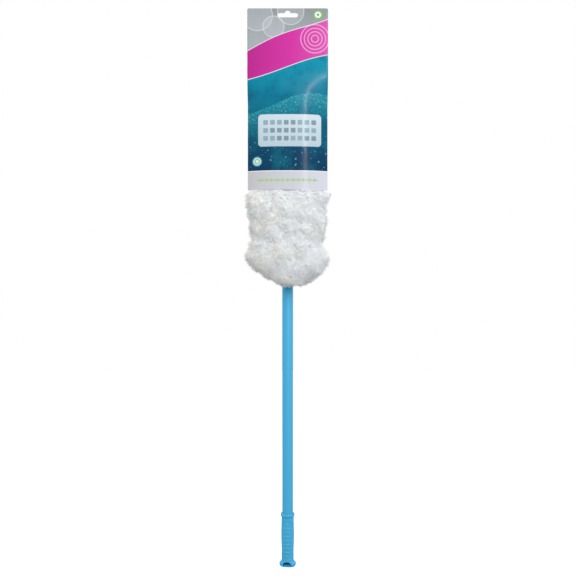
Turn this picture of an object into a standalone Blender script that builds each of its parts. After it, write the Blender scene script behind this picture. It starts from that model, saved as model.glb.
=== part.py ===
"""Floor and wall duster, hanging in its card sleeve.

Metres, +Z up, +X to the viewer's right, +Y away from the viewer. The origin is the top of the hang slot,
in the middle of the card's thickness. The head hangs head-down in the sleeve, and the pole, pushed
together, is folded down behind the head.
"""

import math

import bmesh
import bpy
from mathutils import Vector

# Clearances and overruns
SEAT_GAP = 0.0003
TURN_GAP = 0.00015
SLIDE_GAP = 0.0002
PUSH_GAP = 0.0001
HOLE_GAP = 0.0002
CUT_OVERRUN = 0.002

# Sides of round pieces
TUBE_SIDES = 32
PIN_SIDES = 20
CORNER_STEPS = 7

# Card sleeve
BOARD = 0.0006
GLUE = 0.0001
CARD_PAST_PILE = 0.006
CARD_ABOVE_SLOT = 0.0042
CARD_BELOW_SLOT = 0.356
CARD_CORNER = 0.003
HEADER_ABOVE_HEAD = 0.037
BULGE_RUN = 0.097
BULGE = 0.012
FRONT_FULLNESS = 2.8
BACK_FULLNESS = 3.2
FOLD_MARGIN = 0.002
SLEEVE_STEPS = 8
SLEEVE_STRIPS = 14

# Hang slot
SLOT_WIDTH = 0.0408
SLOT_BAND = 0.0087
SLOT_BUMP_RADIUS = 0.00575
SLOT_BUMP_RISE = 0.0049

# Notch in the back of the sleeve, round the swivel
NOTCH_BESIDE_BRACKET = 0.008
NOTCH_ABOVE_BRACKET = 0.010
NOTCH_CORNER = 0.008

# Duster head
HEAD_LENGTH = 0.410
HEAD_HIDDEN = 0.216
PAD_WIDTH = 0.120
PILE_PAST_PAD = 0.018
PAD_CORNER = 0.044
PLATE_THICKNESS = 0.003
CLOTH_THICKNESS = 0.001
BACK_CLOTH_THICKNESS = 0.0012
BINDING_WIDTH = 0.0028

# Frame plate and its soft edge
SOFT_EDGE_INSET = 0.003
SOFT_EDGE_WIDTH = 0.013
SOFT_EDGE_THICKNESS = 0.0014
SOFT_EDGE_TIP = 0.0008
LEDGE_WIDTH = 0.006
GROOVE_COUNT = 3
GROOVE_WIDTH = 0.002
GROOVE_DEPTH = 0.0014
GROOVE_FIRST = 0.080
GROOVE_PITCH = 0.030

# Pile
PILE_BESIDE_PAD = 0.025
PRESSED_PILE_BESIDE_PAD = 0.014
PILE_DEPTH = 0.028
PILE_RIM_DEPTH = 0.0055
PRESSED_PILE_RIM = 0.0035
PILE_SLACK = 0.0006
PILE_TOP_WIDTH = 0.056
PILE_TOP_RUN = 0.044
PILE_LIP_GAP = 0.0006
PILE_LIP_DROP = 0.003
PILE_TUFT = 0.0016
PILE_RIPPLES = 7
PILE_RIPPLE_RUN = 0.0064
PILE_TOP_CROWD = 1.6
PILE_SIDES = 40
PRESSED_PILE_STEPS = 9

# One row for each level of the free pile: how far down it is, then its left and right reach and its
# depth, as shares of the free length, of half the pile's width and of the pile's depth
PILE_SHAPE_shares = (
    (0.02, 0.97, 1.02, 0.62),
    (0.06, 0.97, 1.00, 0.80),
    (0.14, 0.97, 0.93, 0.93),
    (0.25, 0.93, 0.94, 0.99),
    (0.35, 0.92, 0.94, 1.00),
    (0.43, 0.87, 0.87, 0.97),
    (0.51, 0.86, 0.83, 0.95),
    (0.58, 0.92, 0.85, 0.98),
    (0.64, 1.00, 0.94, 1.02),
    (0.68, 1.02, 0.98, 1.02),
    (0.74, 0.96, 0.95, 1.00),
    (0.80, 0.88, 0.88, 0.97),
    (0.85, 0.73, 0.84, 0.90),
    (0.90, 0.59, 0.68, 0.80),
    (0.94, 0.40, 0.55, 0.66),
    (0.975, 0.14, 0.36, 0.44),
    (0.995, 0.02, 0.24, 0.22),
)

# Swivel bracket
BRACKET_WIDTH = 0.048
BRACKET_LENGTH = 0.034
BRACKET_BASE = 0.003
BRACKET_CORNER = 0.006
BRACKET_WINDOW = 0.006
EAR_THICKNESS = 0.004
EAR_RADIUS = 0.0075
EAR_FOOT = 0.022
FOLD_AXIS_BEHIND_PLATE = 0.017
SCREW_INSET = 0.0058
SCREW_RADIUS = 0.0016
SCREW_HEAD_RADIUS = 0.0032
SCREW_HEAD_HEIGHT = 0.0018
SCREW_CROWN_share = 0.6
SCREW_BITE = 0.0024

# Link and pins
PIN_RADIUS = 0.0025
PIN_HEAD_RADIUS = 0.004
PIN_HEAD_HEIGHT = 0.0015
PIN_END = 0.0028
CAP_WALL = 0.0016
CAP_FLOOR = 0.001
LINK_WIDTH = 0.014
LINK_BARREL_RADIUS = 0.007
LINK_TONGUE = 0.008
TILT_AXIS_DROP = 0.022

# Handle socket
FORK_GAP = 0.0004
FORK_CHEEK = 0.004
FORK_RADIUS = 0.010
FORK_THROAT = 0.0015
FORK_OVERLAP = 0.0025
SOCKET_RADIUS = 0.012
SOCKET_TAPER = 0.0195
SOCKET_LENGTH = 0.0766
SOCKET_LIP = 0.004
SOCKET_LIP_RISE = 0.0006
SOCKET_CROWN_POWER = 9.0
SOCKET_TAPER_shares = (0, 0.16, 0.45, 0.75, 1)
SOCKET_WALL_ABOVE_TUBE = 0.021
SOCKET_SCREW_DROP = 0.044
SOCKET_SCREW_SEAT = 0.0006
SOCKET_SCREW_BITE = 0.002

# Pole
INNER_TUBE_RADIUS = 0.0095
OUTER_TUBE_RADIUS = 0.011
TUBE_WALL = 0.0005
OUTER_TUBE_LENGTH = 0.6392
BUSH_FLANGE_RADIUS = 0.0122
BUSH_FLANGE = 0.0057
BUSH_SLEEVE = 0.030
BUSH_WALL = 0.0006
POLE_STOP_GAP = 0.0004

# Twist lock
LOCK_ABOVE_TUBE_END = 0.0393
LOCK_PLUG = 0.018
LOCK_CHAMFER = 0.001
LOCK_DISC = 0.0025
LOCK_DISC_RADIUS = 0.0094
CAM_RADIUS = 0.0052
CAM_OFFSET = 0.0012
CAM_LENGTH = 0.025
COLLAR_BORE_GAP = 0.0004
COLLAR_SPLIT = 0.0025

# Grip
GRIP_LENGTH = 0.1084
GRIP_BEAD_RADIUS = 0.0143
GRIP_BEAD = 0.007
GRIP_MOUTH_RADIUS = 0.01255
GRIP_SWELL_RADIUS = 0.0131
GRIP_WAIST_RADIUS = 0.0124
GRIP_END_WIDTH = 0.0338
GRIP_END_DEPTH = 0.026
GRIP_END = 0.0114
GRIP_END_FLARE = 0.003
GRIP_END_ROUND = 0.0022
GRIP_END_POWER = 2.4
GRIP_TURN = math.radians(-7)
HANG_HOLE_WIDTH = 0.0175
HANG_HOLE_HEIGHT = 0.0094
HANG_HOLE_FLOOR = 0.0024
HANG_ARCH_share = 0.8
TUBE_STOP_ABOVE_HOLE = 0.0052
PANEL_WIDTH = 0.020
PANEL_LENGTH = 0.0714
PANEL_DROP = 0.0184
PANEL_RISE = 0.0005
RIB_COUNT = 7
RIB_RISE = 0.0006
RIB_HEIGHT = 0.0022
RIB_PITCH = 0.0078
RIB_WIDTH_share = 0.68
GRIP_SIDES = 32

# Places that follow from the sizes
PILE_WIDTH = PAD_WIDTH + 2 * PILE_BESIDE_PAD
PRESSED_PILE_WIDTH = PAD_WIDTH + 2 * PRESSED_PILE_BESIDE_PAD
CARD_WIDTH = PRESSED_PILE_WIDTH + 2 * CARD_PAST_PILE
SLEEVE_LIP_Z = -CARD_BELOW_SLOT
HEAD_TOP_Z = SLEEVE_LIP_Z + HEAD_HIDDEN
HEAD_END_Z = HEAD_TOP_Z - HEAD_LENGTH
HEAD_CENTRE_Z = HEAD_TOP_Z - HEAD_LENGTH / 2
PAD_LENGTH = HEAD_LENGTH - 2 * PILE_PAST_PAD
HEADER_END_Z = HEAD_TOP_Z + HEADER_ABOVE_HEAD
PLATE_BACK_Y = PLATE_THICKNESS
BACK_CLOTH_Y = PLATE_BACK_Y + SEAT_GAP
BRACKET_Y = PLATE_BACK_Y + SEAT_GAP
BRACKET_TOP_Y = BRACKET_Y + BRACKET_BASE
FRONT_CLOTH_Y = -SEAT_GAP - CLOTH_THICKNESS
PILE_FLOOR_Y = FRONT_CLOTH_Y - SEAT_GAP
POLE_Y = PLATE_BACK_Y + FOLD_AXIS_BEHIND_PLATE
FOLD_Z = HEAD_CENTRE_Z
TILT_Z = FOLD_Z - TILT_AXIS_DROP
EAR_INNER_X = LINK_WIDTH / 2 + FORK_GAP
EAR_OUTER_X = EAR_INNER_X + EAR_THICKNESS
CHEEK_INNER = LINK_TONGUE / 2 + FORK_GAP
CHEEK_OUTER = CHEEK_INNER + FORK_CHEEK
FORK_ROOT_Z = TILT_Z - LINK_WIDTH / 2 - FORK_THROAT
SOCKET_END_Z = TILT_Z - SOCKET_LENGTH
SOCKET_FLOOR_Z = FORK_ROOT_Z - SOCKET_WALL_ABOVE_TUBE
INNER_TUBE_TOP_Z = SOCKET_FLOOR_Z - SEAT_GAP
INNER_BORE_RADIUS = INNER_TUBE_RADIUS - TUBE_WALL
OUTER_BORE_RADIUS = OUTER_TUBE_RADIUS - TUBE_WALL
BUSH_TOP_Z = SOCKET_END_Z - POLE_STOP_GAP
OUTER_TUBE_TOP_Z = BUSH_TOP_Z - BUSH_FLANGE - SEAT_GAP
OUTER_TUBE_END_Z = OUTER_TUBE_TOP_Z - OUTER_TUBE_LENGTH
LOCK_END_Z = OUTER_TUBE_END_Z + LOCK_ABOVE_TUBE_END
CAM_END_Z = LOCK_END_Z + LOCK_DISC
CAM_TOP_Z = CAM_END_Z + CAM_LENGTH
INNER_TUBE_END_Z = CAM_TOP_Z + LOCK_DISC + SEAT_GAP
COLLAR_BORE_RADIUS = CAM_RADIUS + CAM_OFFSET + COLLAR_BORE_GAP
COLLAR_RADIUS = OUTER_BORE_RADIUS - SLIDE_GAP
GRIP_BORE_END_Z = OUTER_TUBE_END_Z - SEAT_GAP
HANG_HOLE_Z = GRIP_BORE_END_Z - TUBE_STOP_ABOVE_HOLE - HANG_HOLE_HEIGHT
GRIP_END_Z = HANG_HOLE_Z - HANG_HOLE_FLOOR
GRIP_TOP_Z = GRIP_END_Z + GRIP_LENGTH


def clear_scene():
    for item in list(bpy.data.objects):
        bpy.data.objects.remove(item, do_unlink=True)


# Frames: one empty for each moving body, on its joint's axis

def body_frame(name, place, parent=None):
    empty = bpy.data.objects.new(name, None)
    bpy.context.collection.objects.link(empty)
    empty.parent = parent
    inherited = world_place(parent) if parent else Vector()
    empty.location = Vector(place) - inherited
    return empty


def world_place(item):
    place = Vector()
    while item:
        place += item.location
        item = item.parent
    return place


def material(name, colour, roughness, metallic=0.0):
    finish = bpy.data.materials.new(name)
    finish.use_nodes = True
    shader = finish.node_tree.nodes["Principled BSDF"]
    shader.inputs["Base Color"].default_value = (*colour, 1.0)
    shader.inputs["Roughness"].default_value = roughness
    shader.inputs["Metallic"].default_value = metallic
    finish.diffuse_color = (*colour, 1.0)
    return finish


def add_piece(name, shape, frame, finish, sharp_degrees=35):
    """Makes an object of a bmesh drawn at its place in the world, and hangs it on its body's frame."""
    bmesh.ops.translate(shape, vec=-world_place(frame), verts=shape.verts)
    mesh = bpy.data.meshes.new(name)
    shape.to_mesh(mesh)
    shape.free()
    mesh.shade_smooth()
    mesh.set_sharp_from_angle(angle=math.radians(sharp_degrees))
    mesh.materials.append(finish)
    piece = bpy.data.objects.new(name, mesh)
    bpy.context.collection.objects.link(piece)
    piece.parent = frame
    return piece


def tool_object(piece, shape):
    """A hidden helper, drawn at its place in the world, that turns with its piece."""
    bmesh.ops.translate(shape, vec=-world_place(piece.parent), verts=shape.verts)
    mesh = bpy.data.meshes.new(piece.name + "_tool")
    shape.to_mesh(mesh)
    shape.free()
    mesh.shade_smooth()
    mesh.set_sharp_from_angle(angle=math.radians(35))
    tool = bpy.data.objects.new(piece.name + "_tool", mesh)
    bpy.context.collection.objects.link(tool)
    tool.parent = piece
    tool.hide_render = True
    tool.display_type = "WIRE"
    return tool


def combine(piece, tool, operation):
    step = piece.modifiers.new(operation.title(), "BOOLEAN")
    step.operation = operation
    step.solver = "EXACT"
    step.object = tool


def cut(piece, shape):
    combine(piece, tool_object(piece, shape), "DIFFERENCE")


def join(piece, shape, within=None):
    """Joins a shape to a piece, or only as much of it as lies within another shape."""
    tool = tool_object(piece, shape)
    if within:
        combine(tool, tool_object(piece, within), "INTERSECT")
    combine(piece, tool, "UNION")


# Outlines, as (across, up) pairs, anticlockwise

def arc(centre, radius, start, end, steps):
    """Points of a round stretch between two angles in degrees, both ends included."""
    points = []
    for step in range(steps + 1):
        angle = math.radians(start + (end - start) * step / steps)
        points.append((centre[0] + radius * math.cos(angle), centre[1] + radius * math.sin(angle)))
    return points


def circle(radius, sides, centre=(0, 0)):
    return arc(centre, radius, 0, 360, sides)[:-1]


def rounded_rectangle(width, height, radius, centre=(0, 0), steps=CORNER_STEPS):
    points = []
    for side, level, start in ((1, 1, 0), (-1, 1, 90), (-1, -1, 180), (1, -1, 270)):
        middle_x = centre[0] + side * (width / 2 - radius)
        middle_z = centre[1] + level * (height / 2 - radius)
        points += arc((middle_x, middle_z), radius, start, start + 90, steps)
    return points


def superellipse(half_x, half_y, power, sides, centre=(0, 0)):
    points = []
    for side in range(sides):
        angle = 2 * math.pi * side / sides
        across = math.copysign(abs(math.cos(angle)) ** (2 / power), math.cos(angle))
        up = math.copysign(abs(math.sin(angle)) ** (2 / power), math.sin(angle))
        points.append((centre[0] + half_x * across, centre[1] + half_y * up))
    return points


# Solids from rings of equally many points

def loft(rings, closed=False):
    """A solid through the rings, with flat ends, or with its last ring joined to its first."""
    shape = bmesh.new()
    loops = [[shape.verts.new(point) for point in ring] for ring in rings]
    pairs = list(zip(loops, loops[1:]))
    if closed:
        pairs.append((loops[-1], loops[0]))
    else:
        shape.faces.new(loops[0])
        shape.faces.new(loops[-1])
    for low, high in pairs:
        for index, corner in enumerate(low):
            after = (index + 1) % len(low)
            shape.faces.new((corner, low[after], high[after], high[index]))
    bmesh.ops.recalc_face_normals(shape, faces=shape.faces)
    return shape


def along(axis, outline, depth):
    """Puts an outline at a depth along X, Y or Z."""
    if axis == "X":
        return [(depth, a, b) for a, b in outline]
    if axis == "Y":
        return [(a, depth, b) for a, b in outline]
    return [(a, b, depth) for a, b in outline]


def slab(axis, outline, low, high):
    return loft([along(axis, outline, low), along(axis, outline, high)])


def box(low, high):
    outline = [(low[0], low[1]), (high[0], low[1]), (high[0], high[1]), (low[0], high[1])]
    return slab("Z", outline, low[2], high[2])


def turned(axis, centre, stations, sides=TUBE_SIDES, closed=False):
    """A solid of revolution from (radius, depth) stations along an axis through a centre."""
    rings = [along(axis, circle(radius, sides, centre), depth) for radius, depth in stations]
    return loft(rings, closed)


def pipe(axis, centre, outer, inner, low, high, sides=TUBE_SIDES):
    stations = [(outer, low), (outer, high), (inner, high), (inner, low)]
    return turned(axis, centre, stations, sides, closed=True)


def gathered(shapes):
    """Several separate shapes as one, for a tool that works in several places."""
    whole = bmesh.new()
    for shape in shapes:
        mesh = bpy.data.meshes.new("gathered")
        shape.to_mesh(mesh)
        shape.free()
        whole.from_mesh(mesh)
        bpy.data.meshes.remove(mesh)
    return whole


# Card sleeve

def bulge_at(z):
    """How far each wall of the sleeve stands off the middle at a level."""
    run = (HEADER_END_Z - z) / BULGE_RUN
    run = min(max(run, 0), 1)
    return BULGE * run * run * (3 - 2 * run)


def sleeve_half_width(z):
    """The board keeps its width along the curve, so the sleeve narrows as it bulges."""
    sagitta = bulge_at(z)
    return CARD_WIDTH / 2 - 4 * sagitta * sagitta / (3 * CARD_WIDTH)


def wall_ring(z, half_width, edge, bulge, strips=SLEEVE_STRIPS):
    """A level of the sleeve: its front from left to right, and its back from right to left."""
    front = []
    back = []
    for strip in range(strips + 1):
        share = 2 * strip / strips - 1
        front.append((half_width * share, -edge - bulge * (1 - abs(share) ** FRONT_FULLNESS), z))
        back.append((half_width * share, edge + bulge * (1 - abs(share) ** BACK_FULLNESS), z))
    return front + back[::-1]


def sleeve_levels():
    """Levels of the sleeve, from the top edge down, with how much its round corners take off."""
    top = CARD_ABOVE_SLOT
    levels = []
    for _, up in arc((0, 0), CARD_CORNER, 90, 0, CORNER_STEPS):
        inset = CARD_CORNER - math.sqrt(max(CARD_CORNER ** 2 - up ** 2, 0))
        levels.append((top - CARD_CORNER + up, inset))
    for step in range(SLEEVE_STEPS + 1):
        levels.append((HEADER_END_Z - BULGE_RUN * step / SLEEVE_STEPS, 0))
    levels.append((SLEEVE_LIP_Z, 0))
    return levels


def hang_slot_outline():
    band_top = -SLOT_BUMP_RISE
    band_end = SLOT_BAND / 2
    middle = band_top - band_end
    reach = SLOT_WIDTH / 2 - band_end
    bump_middle = -SLOT_BUMP_RADIUS
    bump_angle = math.degrees(math.asin((band_top - bump_middle) / SLOT_BUMP_RADIUS))
    points = arc((reach, middle), band_end, -90, 90, CORNER_STEPS)
    points += arc((0, bump_middle), SLOT_BUMP_RADIUS, bump_angle, 180 - bump_angle, CORNER_STEPS)
    points += arc((-reach, middle), band_end, 90, 270, CORNER_STEPS)
    return points


def make_card_sleeve(frame, finish):
    edge = BOARD + GLUE / 2
    walls = []
    for z, inset in sleeve_levels():
        walls.append(wall_ring(z, sleeve_half_width(z) - inset, edge, bulge_at(z)))
    card = add_piece("card_sleeve", loft(walls), frame, finish, sharp_degrees=50)

    hollow = []
    for z, _ in sleeve_levels():
        if z <= HEADER_END_Z:
            hollow.append(wall_ring(z, sleeve_half_width(z) - FOLD_MARGIN, GLUE / 2, bulge_at(z)))
    below = SLEEVE_LIP_Z - CUT_OVERRUN
    hollow.append(wall_ring(below, sleeve_half_width(below) - FOLD_MARGIN, GLUE / 2, bulge_at(below)))
    cut(card, loft(hollow))

    cut(card, slab("Y", hang_slot_outline(), -edge - CUT_OVERRUN, edge + CUT_OVERRUN))

    notch_width = BRACKET_WIDTH + 2 * NOTCH_BESIDE_BRACKET
    notch_height = BRACKET_LENGTH + 2 * NOTCH_ABOVE_BRACKET
    notch = rounded_rectangle(notch_width, notch_height, NOTCH_CORNER, (0, FOLD_Z))
    cut(card, slab("Y", notch, BULGE / 2, BULGE + BOARD + CUT_OVERRUN))
    return card


# Duster head

def head_outline(grow):
    """The pad's outline, grown or shrunk evenly."""
    width = PAD_WIDTH + 2 * grow
    height = PAD_LENGTH + 2 * grow
    return rounded_rectangle(width, height, PAD_CORNER + grow, (0, HEAD_CENTRE_Z))


def make_frame_plate(frame, finish):
    ledge = head_outline(-SOFT_EDGE_INSET - SOFT_EDGE_WIDTH + LEDGE_WIDTH)
    slab_edge = head_outline(-SOFT_EDGE_INSET - SOFT_EDGE_WIDTH)
    ledge_y = PLATE_THICKNESS - SOFT_EDGE_THICKNESS - SEAT_GAP
    rings = [along("Y", ledge, 0), along("Y", ledge, ledge_y)]
    rings += [along("Y", slab_edge, ledge_y), along("Y", slab_edge, PLATE_THICKNESS)]
    plate = add_piece("frame_plate", loft(rings), frame, finish)
    for side in (-1, 1):
        for index in range(GROOVE_COUNT):
            z = HEAD_CENTRE_Z + side * (GROOVE_FIRST + GROOVE_PITCH * index)
            low = (-PAD_WIDTH / 2, PLATE_THICKNESS - GROOVE_DEPTH, z - GROOVE_WIDTH / 2)
            high = (PAD_WIDTH / 2, PLATE_THICKNESS + CUT_OVERRUN, z + GROOVE_WIDTH / 2)
            cut(plate, box(low, high))
    for x, z in bracket_screw_places():
        hole = [(SCREW_RADIUS + HOLE_GAP, -CUT_OVERRUN), (SCREW_RADIUS + HOLE_GAP, BRACKET_TOP_Y)]
        cut(plate, turned("Y", (x, z), hole, PIN_SIDES))
    return plate


def make_soft_edges(frame, finish):
    """Four soft blades, lapped on the plate's ledge: two along its sides and two round its ends."""
    inner_x = PAD_WIDTH / 2 - SOFT_EDGE_INSET - SOFT_EDGE_WIDTH + SEAT_GAP
    outer_x = PAD_WIDTH / 2 - SOFT_EDGE_INSET
    lap_x = inner_x + LEDGE_WIDTH
    back_y = PLATE_THICKNESS
    front_y = back_y - SOFT_EDGE_THICKNESS
    tip_front = back_y - (SOFT_EDGE_THICKNESS + SOFT_EDGE_TIP) / 2
    tip_back = tip_front + SOFT_EDGE_TIP
    straight = PAD_LENGTH / 2 - PAD_CORNER - SEAT_GAP / 2
    for name, side in (("flex_edge_left", -1), ("flex_edge_right", 1)):
        section = [(inner_x, front_y), (lap_x, front_y), (outer_x, tip_front)]
        section += [(outer_x, tip_back), (lap_x, back_y), (inner_x, back_y)]
        section = [(side * x, y) for x, y in section]
        blade = slab("Z", section, HEAD_CENTRE_Z - straight, HEAD_CENTRE_Z + straight)
        add_piece(name, blade, frame, finish)
    corner_z = PAD_LENGTH / 2 - PAD_CORNER
    corner_x = PAD_WIDTH / 2 - PAD_CORNER
    for name, level in (("flex_edge_top", 1), ("flex_edge_bottom", -1)):
        outline = []
        for radius, start, end, side in end_blade_arcs():
            centre = (side * corner_x, corner_z)
            outline += arc(centre, radius, start, end, CORNER_STEPS)
        bottom = corner_z + SEAT_GAP / 2
        outline = [(x, HEAD_CENTRE_Z + level * max(z, bottom)) for x, z in outline]
        add_piece(name, slab("Y", outline, front_y, back_y), frame, finish)


def end_blade_arcs():
    """The four round stretches of an end blade: radius, start and end angles, and side."""
    outer = PAD_CORNER - SOFT_EDGE_INSET
    inner = PAD_CORNER - SOFT_EDGE_INSET - SOFT_EDGE_WIDTH + SEAT_GAP
    return ((outer, 0, 90, 1), (outer, 90, 180, -1), (inner, 180, 90, -1), (inner, 90, 0, 1))


def bracket_window(grow):
    width = BRACKET_WIDTH + 2 * grow
    height = BRACKET_LENGTH + 2 * grow
    return rounded_rectangle(width, height, BRACKET_CORNER + grow, (0, FOLD_Z))


def make_cover(frame, white, panel, tape):
    """The cloths on both sides of the plate, and the tape sewn round them."""
    front = slab("Y", head_outline(0), FRONT_CLOTH_Y, FRONT_CLOTH_Y + CLOTH_THICKNESS)
    add_piece("front_cloth", front, frame, white)
    back_y = BACK_CLOTH_Y + BACK_CLOTH_THICKNESS
    back = add_piece("back_cloth", slab("Y", head_outline(0), BACK_CLOTH_Y, back_y), frame, panel)
    window = slab("Y", bracket_window(BRACKET_WINDOW), BACK_CLOTH_Y - SEAT_GAP, back_y + CUT_OVERRUN)
    cut(back, window)
    outer = head_outline(SEAT_GAP + BINDING_WIDTH)
    inner = head_outline(SEAT_GAP)
    rings = [along("Y", outer, FRONT_CLOTH_Y), along("Y", outer, back_y)]
    rings += [along("Y", inner, back_y), along("Y", inner, FRONT_CLOTH_Y)]
    add_piece("edge_binding", loft(rings, closed=True), frame, tape)


def pile_ring(z, left, right, depth, rim, roundness, tuft):
    """A level of the pile. Roundness runs from 1, a lens as in the sleeve, to 2, an ellipse."""
    points = []
    middle = (right - left) / 2
    half_width = (right + left) / 2
    power = FRONT_FULLNESS + (2 - FRONT_FULLNESS) * (roundness - 1)
    for side in range(PILE_SIDES):
        angle = 2 * math.pi * side / PILE_SIDES
        across = math.copysign(abs(math.cos(angle)) ** (2 / power), math.cos(angle))
        up = abs(math.sin(angle)) ** (2 / roundness)
        reach = rim if math.sin(angle) > 0 else -depth
        ripple = tuft * (math.sin(PILE_RIPPLES * angle + z / PILE_RIPPLE_RUN) - 1) / 2
        outward = ripple if math.sin(angle) < 0 else 0
        points.append((middle + (half_width + ripple) * across, (reach - outward) * up, z))
    return points


def pressed_pile_levels():
    """The part of the pile that the sleeve presses flat, from the head's top down to the lip."""
    full = PRESSED_PILE_WIDTH / 2
    first = PILE_TOP_WIDTH / 2
    last_z = SLEEVE_LIP_Z + PILE_LIP_GAP
    rings = []
    for step in range(PRESSED_PILE_STEPS + 1):
        share = (step / PRESSED_PILE_STEPS) ** PILE_TOP_CROWD
        z = HEAD_TOP_Z + (last_z - HEAD_TOP_Z) * share
        run = min((HEAD_TOP_Z - z) / PILE_TOP_RUN, 1)
        half_width = first + (full - first) * math.sqrt(1 - (1 - run) ** 2)
        depth = bulge_at(z) - PILE_SLACK
        rings.append(pile_ring(z, half_width, half_width, depth, PRESSED_PILE_RIM, 1, 0))
    return rings


def free_pile_levels():
    """The part of the pile that stands free below the sleeve."""
    start = SLEEVE_LIP_Z - PILE_LIP_DROP
    length = start - HEAD_END_Z
    half = PILE_WIDTH / 2
    rings = []
    for down, left, right, depth in PILE_SHAPE_shares:
        z = start - length * down
        rim = PILE_RIM_DEPTH * min(depth, 1)
        rings.append(pile_ring(z, half * left, half * right, PILE_DEPTH * depth, rim, 2, PILE_TUFT))
    return rings


def make_pile(frame, finish):
    pile = add_piece("cover_pile", loft(pressed_pile_levels() + free_pile_levels()), frame, finish, 70)
    pocket = head_outline(SEAT_GAP + BINDING_WIDTH + SEAT_GAP)
    cut(pile, slab("Y", pocket, PILE_FLOOR_Y, PILE_RIM_DEPTH + CUT_OVERRUN))
    return pile


# Swivel between head and pole

def bracket_screw_places():
    reach_x = BRACKET_WIDTH / 2 - SCREW_INSET
    reach_z = BRACKET_LENGTH / 2 - SCREW_INSET
    return [(x * reach_x, FOLD_Z + z * reach_z) for x, z in ((-1, 1), (1, 1), (-1, -1), (1, -1))]


def make_bracket(frame, finish, steel):
    base = slab("Y", bracket_window(0), BRACKET_Y, BRACKET_TOP_Y)
    bracket = add_piece("swivel_bracket", base, frame, finish)
    foot_y = BRACKET_TOP_Y - BRACKET_BASE / 2
    ear = [(foot_y, FOLD_Z - EAR_FOOT / 2)]
    ear += arc((POLE_Y, FOLD_Z), EAR_RADIUS, -80, 80, CORNER_STEPS + 2)
    ear += [(foot_y, FOLD_Z + EAR_FOOT / 2)]
    for side in (-1, 1):
        join(bracket, slab("X", ear, side * EAR_INNER_X, side * EAR_OUTER_X))
    reach = EAR_OUTER_X + CUT_OVERRUN
    pin_hole = [(PIN_RADIUS + PUSH_GAP, -reach), (PIN_RADIUS + PUSH_GAP, reach)]
    cut(bracket, turned("X", (POLE_Y, FOLD_Z), pin_hole, PIN_SIDES))
    for number, (x, z) in enumerate(bracket_screw_places(), 1):
        hole = [(SCREW_RADIUS + HOLE_GAP, 0), (SCREW_RADIUS + HOLE_GAP, BRACKET_TOP_Y + CUT_OVERRUN)]
        cut(bracket, turned("Y", (x, z), hole, PIN_SIDES))
        seat = BRACKET_TOP_Y + SEAT_GAP
        tip = PLATE_BACK_Y - SCREW_BITE
        screw = screw_shape("Y", (x, z), tip, seat, 1)
        add_piece(f"bracket_screw_{number}", screw, frame, steel)


def screw_shape(axis, centre, tip, seat, way):
    """A pan-head screw from its tip to the seat of its head. Way is the side that the head is on."""
    crown = SCREW_HEAD_RADIUS * SCREW_CROWN_share
    shoulder = seat + way * SCREW_HEAD_HEIGHT / 2
    top = seat + way * SCREW_HEAD_HEIGHT
    stations = [(SCREW_RADIUS, tip), (SCREW_RADIUS, seat), (SCREW_HEAD_RADIUS, seat)]
    stations += [(SCREW_HEAD_RADIUS, shoulder), (crown, top)]
    return turned(axis, centre, stations, PIN_SIDES)


def make_pin(name, axis, centre, middle, reach, frame, finish, cap_finish):
    """A headed pin across a fork, with a push-on cap on its far end."""
    head_seat = middle - reach - SEAT_GAP
    cap_seat = middle + reach + SEAT_GAP
    end = cap_seat + PIN_END
    stations = [(PIN_HEAD_RADIUS, head_seat - PIN_HEAD_HEIGHT), (PIN_HEAD_RADIUS, head_seat)]
    stations += [(PIN_RADIUS, head_seat), (PIN_RADIUS, end)]
    add_piece(name, turned(axis, centre, stations, PIN_SIDES), frame, finish)
    bore = PIN_RADIUS + PUSH_GAP
    outer = PIN_RADIUS + CAP_WALL
    top = end + SEAT_GAP
    stations = [(bore, top), (bore, cap_seat), (outer, cap_seat), (outer, top)]
    stations += [(PIN_RADIUS, top + CAP_FLOOR)]
    add_piece(name + "_cap", turned(axis, centre, stations, PIN_SIDES), frame, cap_finish)


def make_link(frame, finish):
    half = LINK_WIDTH / 2
    barrel = turned("X", (POLE_Y, FOLD_Z), [(LINK_BARREL_RADIUS, -half), (LINK_BARREL_RADIUS, half)])
    link = add_piece("swivel_link", barrel, frame, finish)
    tongue = [(half, FOLD_Z), (-half, FOLD_Z)] + arc((0, TILT_Z), half, 180, 360, 2 * CORNER_STEPS)
    low = POLE_Y - LINK_TONGUE / 2
    join(link, slab("Y", tongue, low, low + LINK_TONGUE))
    bore = PIN_RADIUS + TURN_GAP
    reach = half + CUT_OVERRUN
    cut(link, turned("X", (POLE_Y, FOLD_Z), [(bore, -reach), (bore, reach)], PIN_SIDES))
    far = LINK_TONGUE / 2 + CUT_OVERRUN
    cut(link, turned("Y", (0, TILT_Z), [(bore, POLE_Y - far), (bore, POLE_Y + far)], PIN_SIDES))


# Pole

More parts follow.
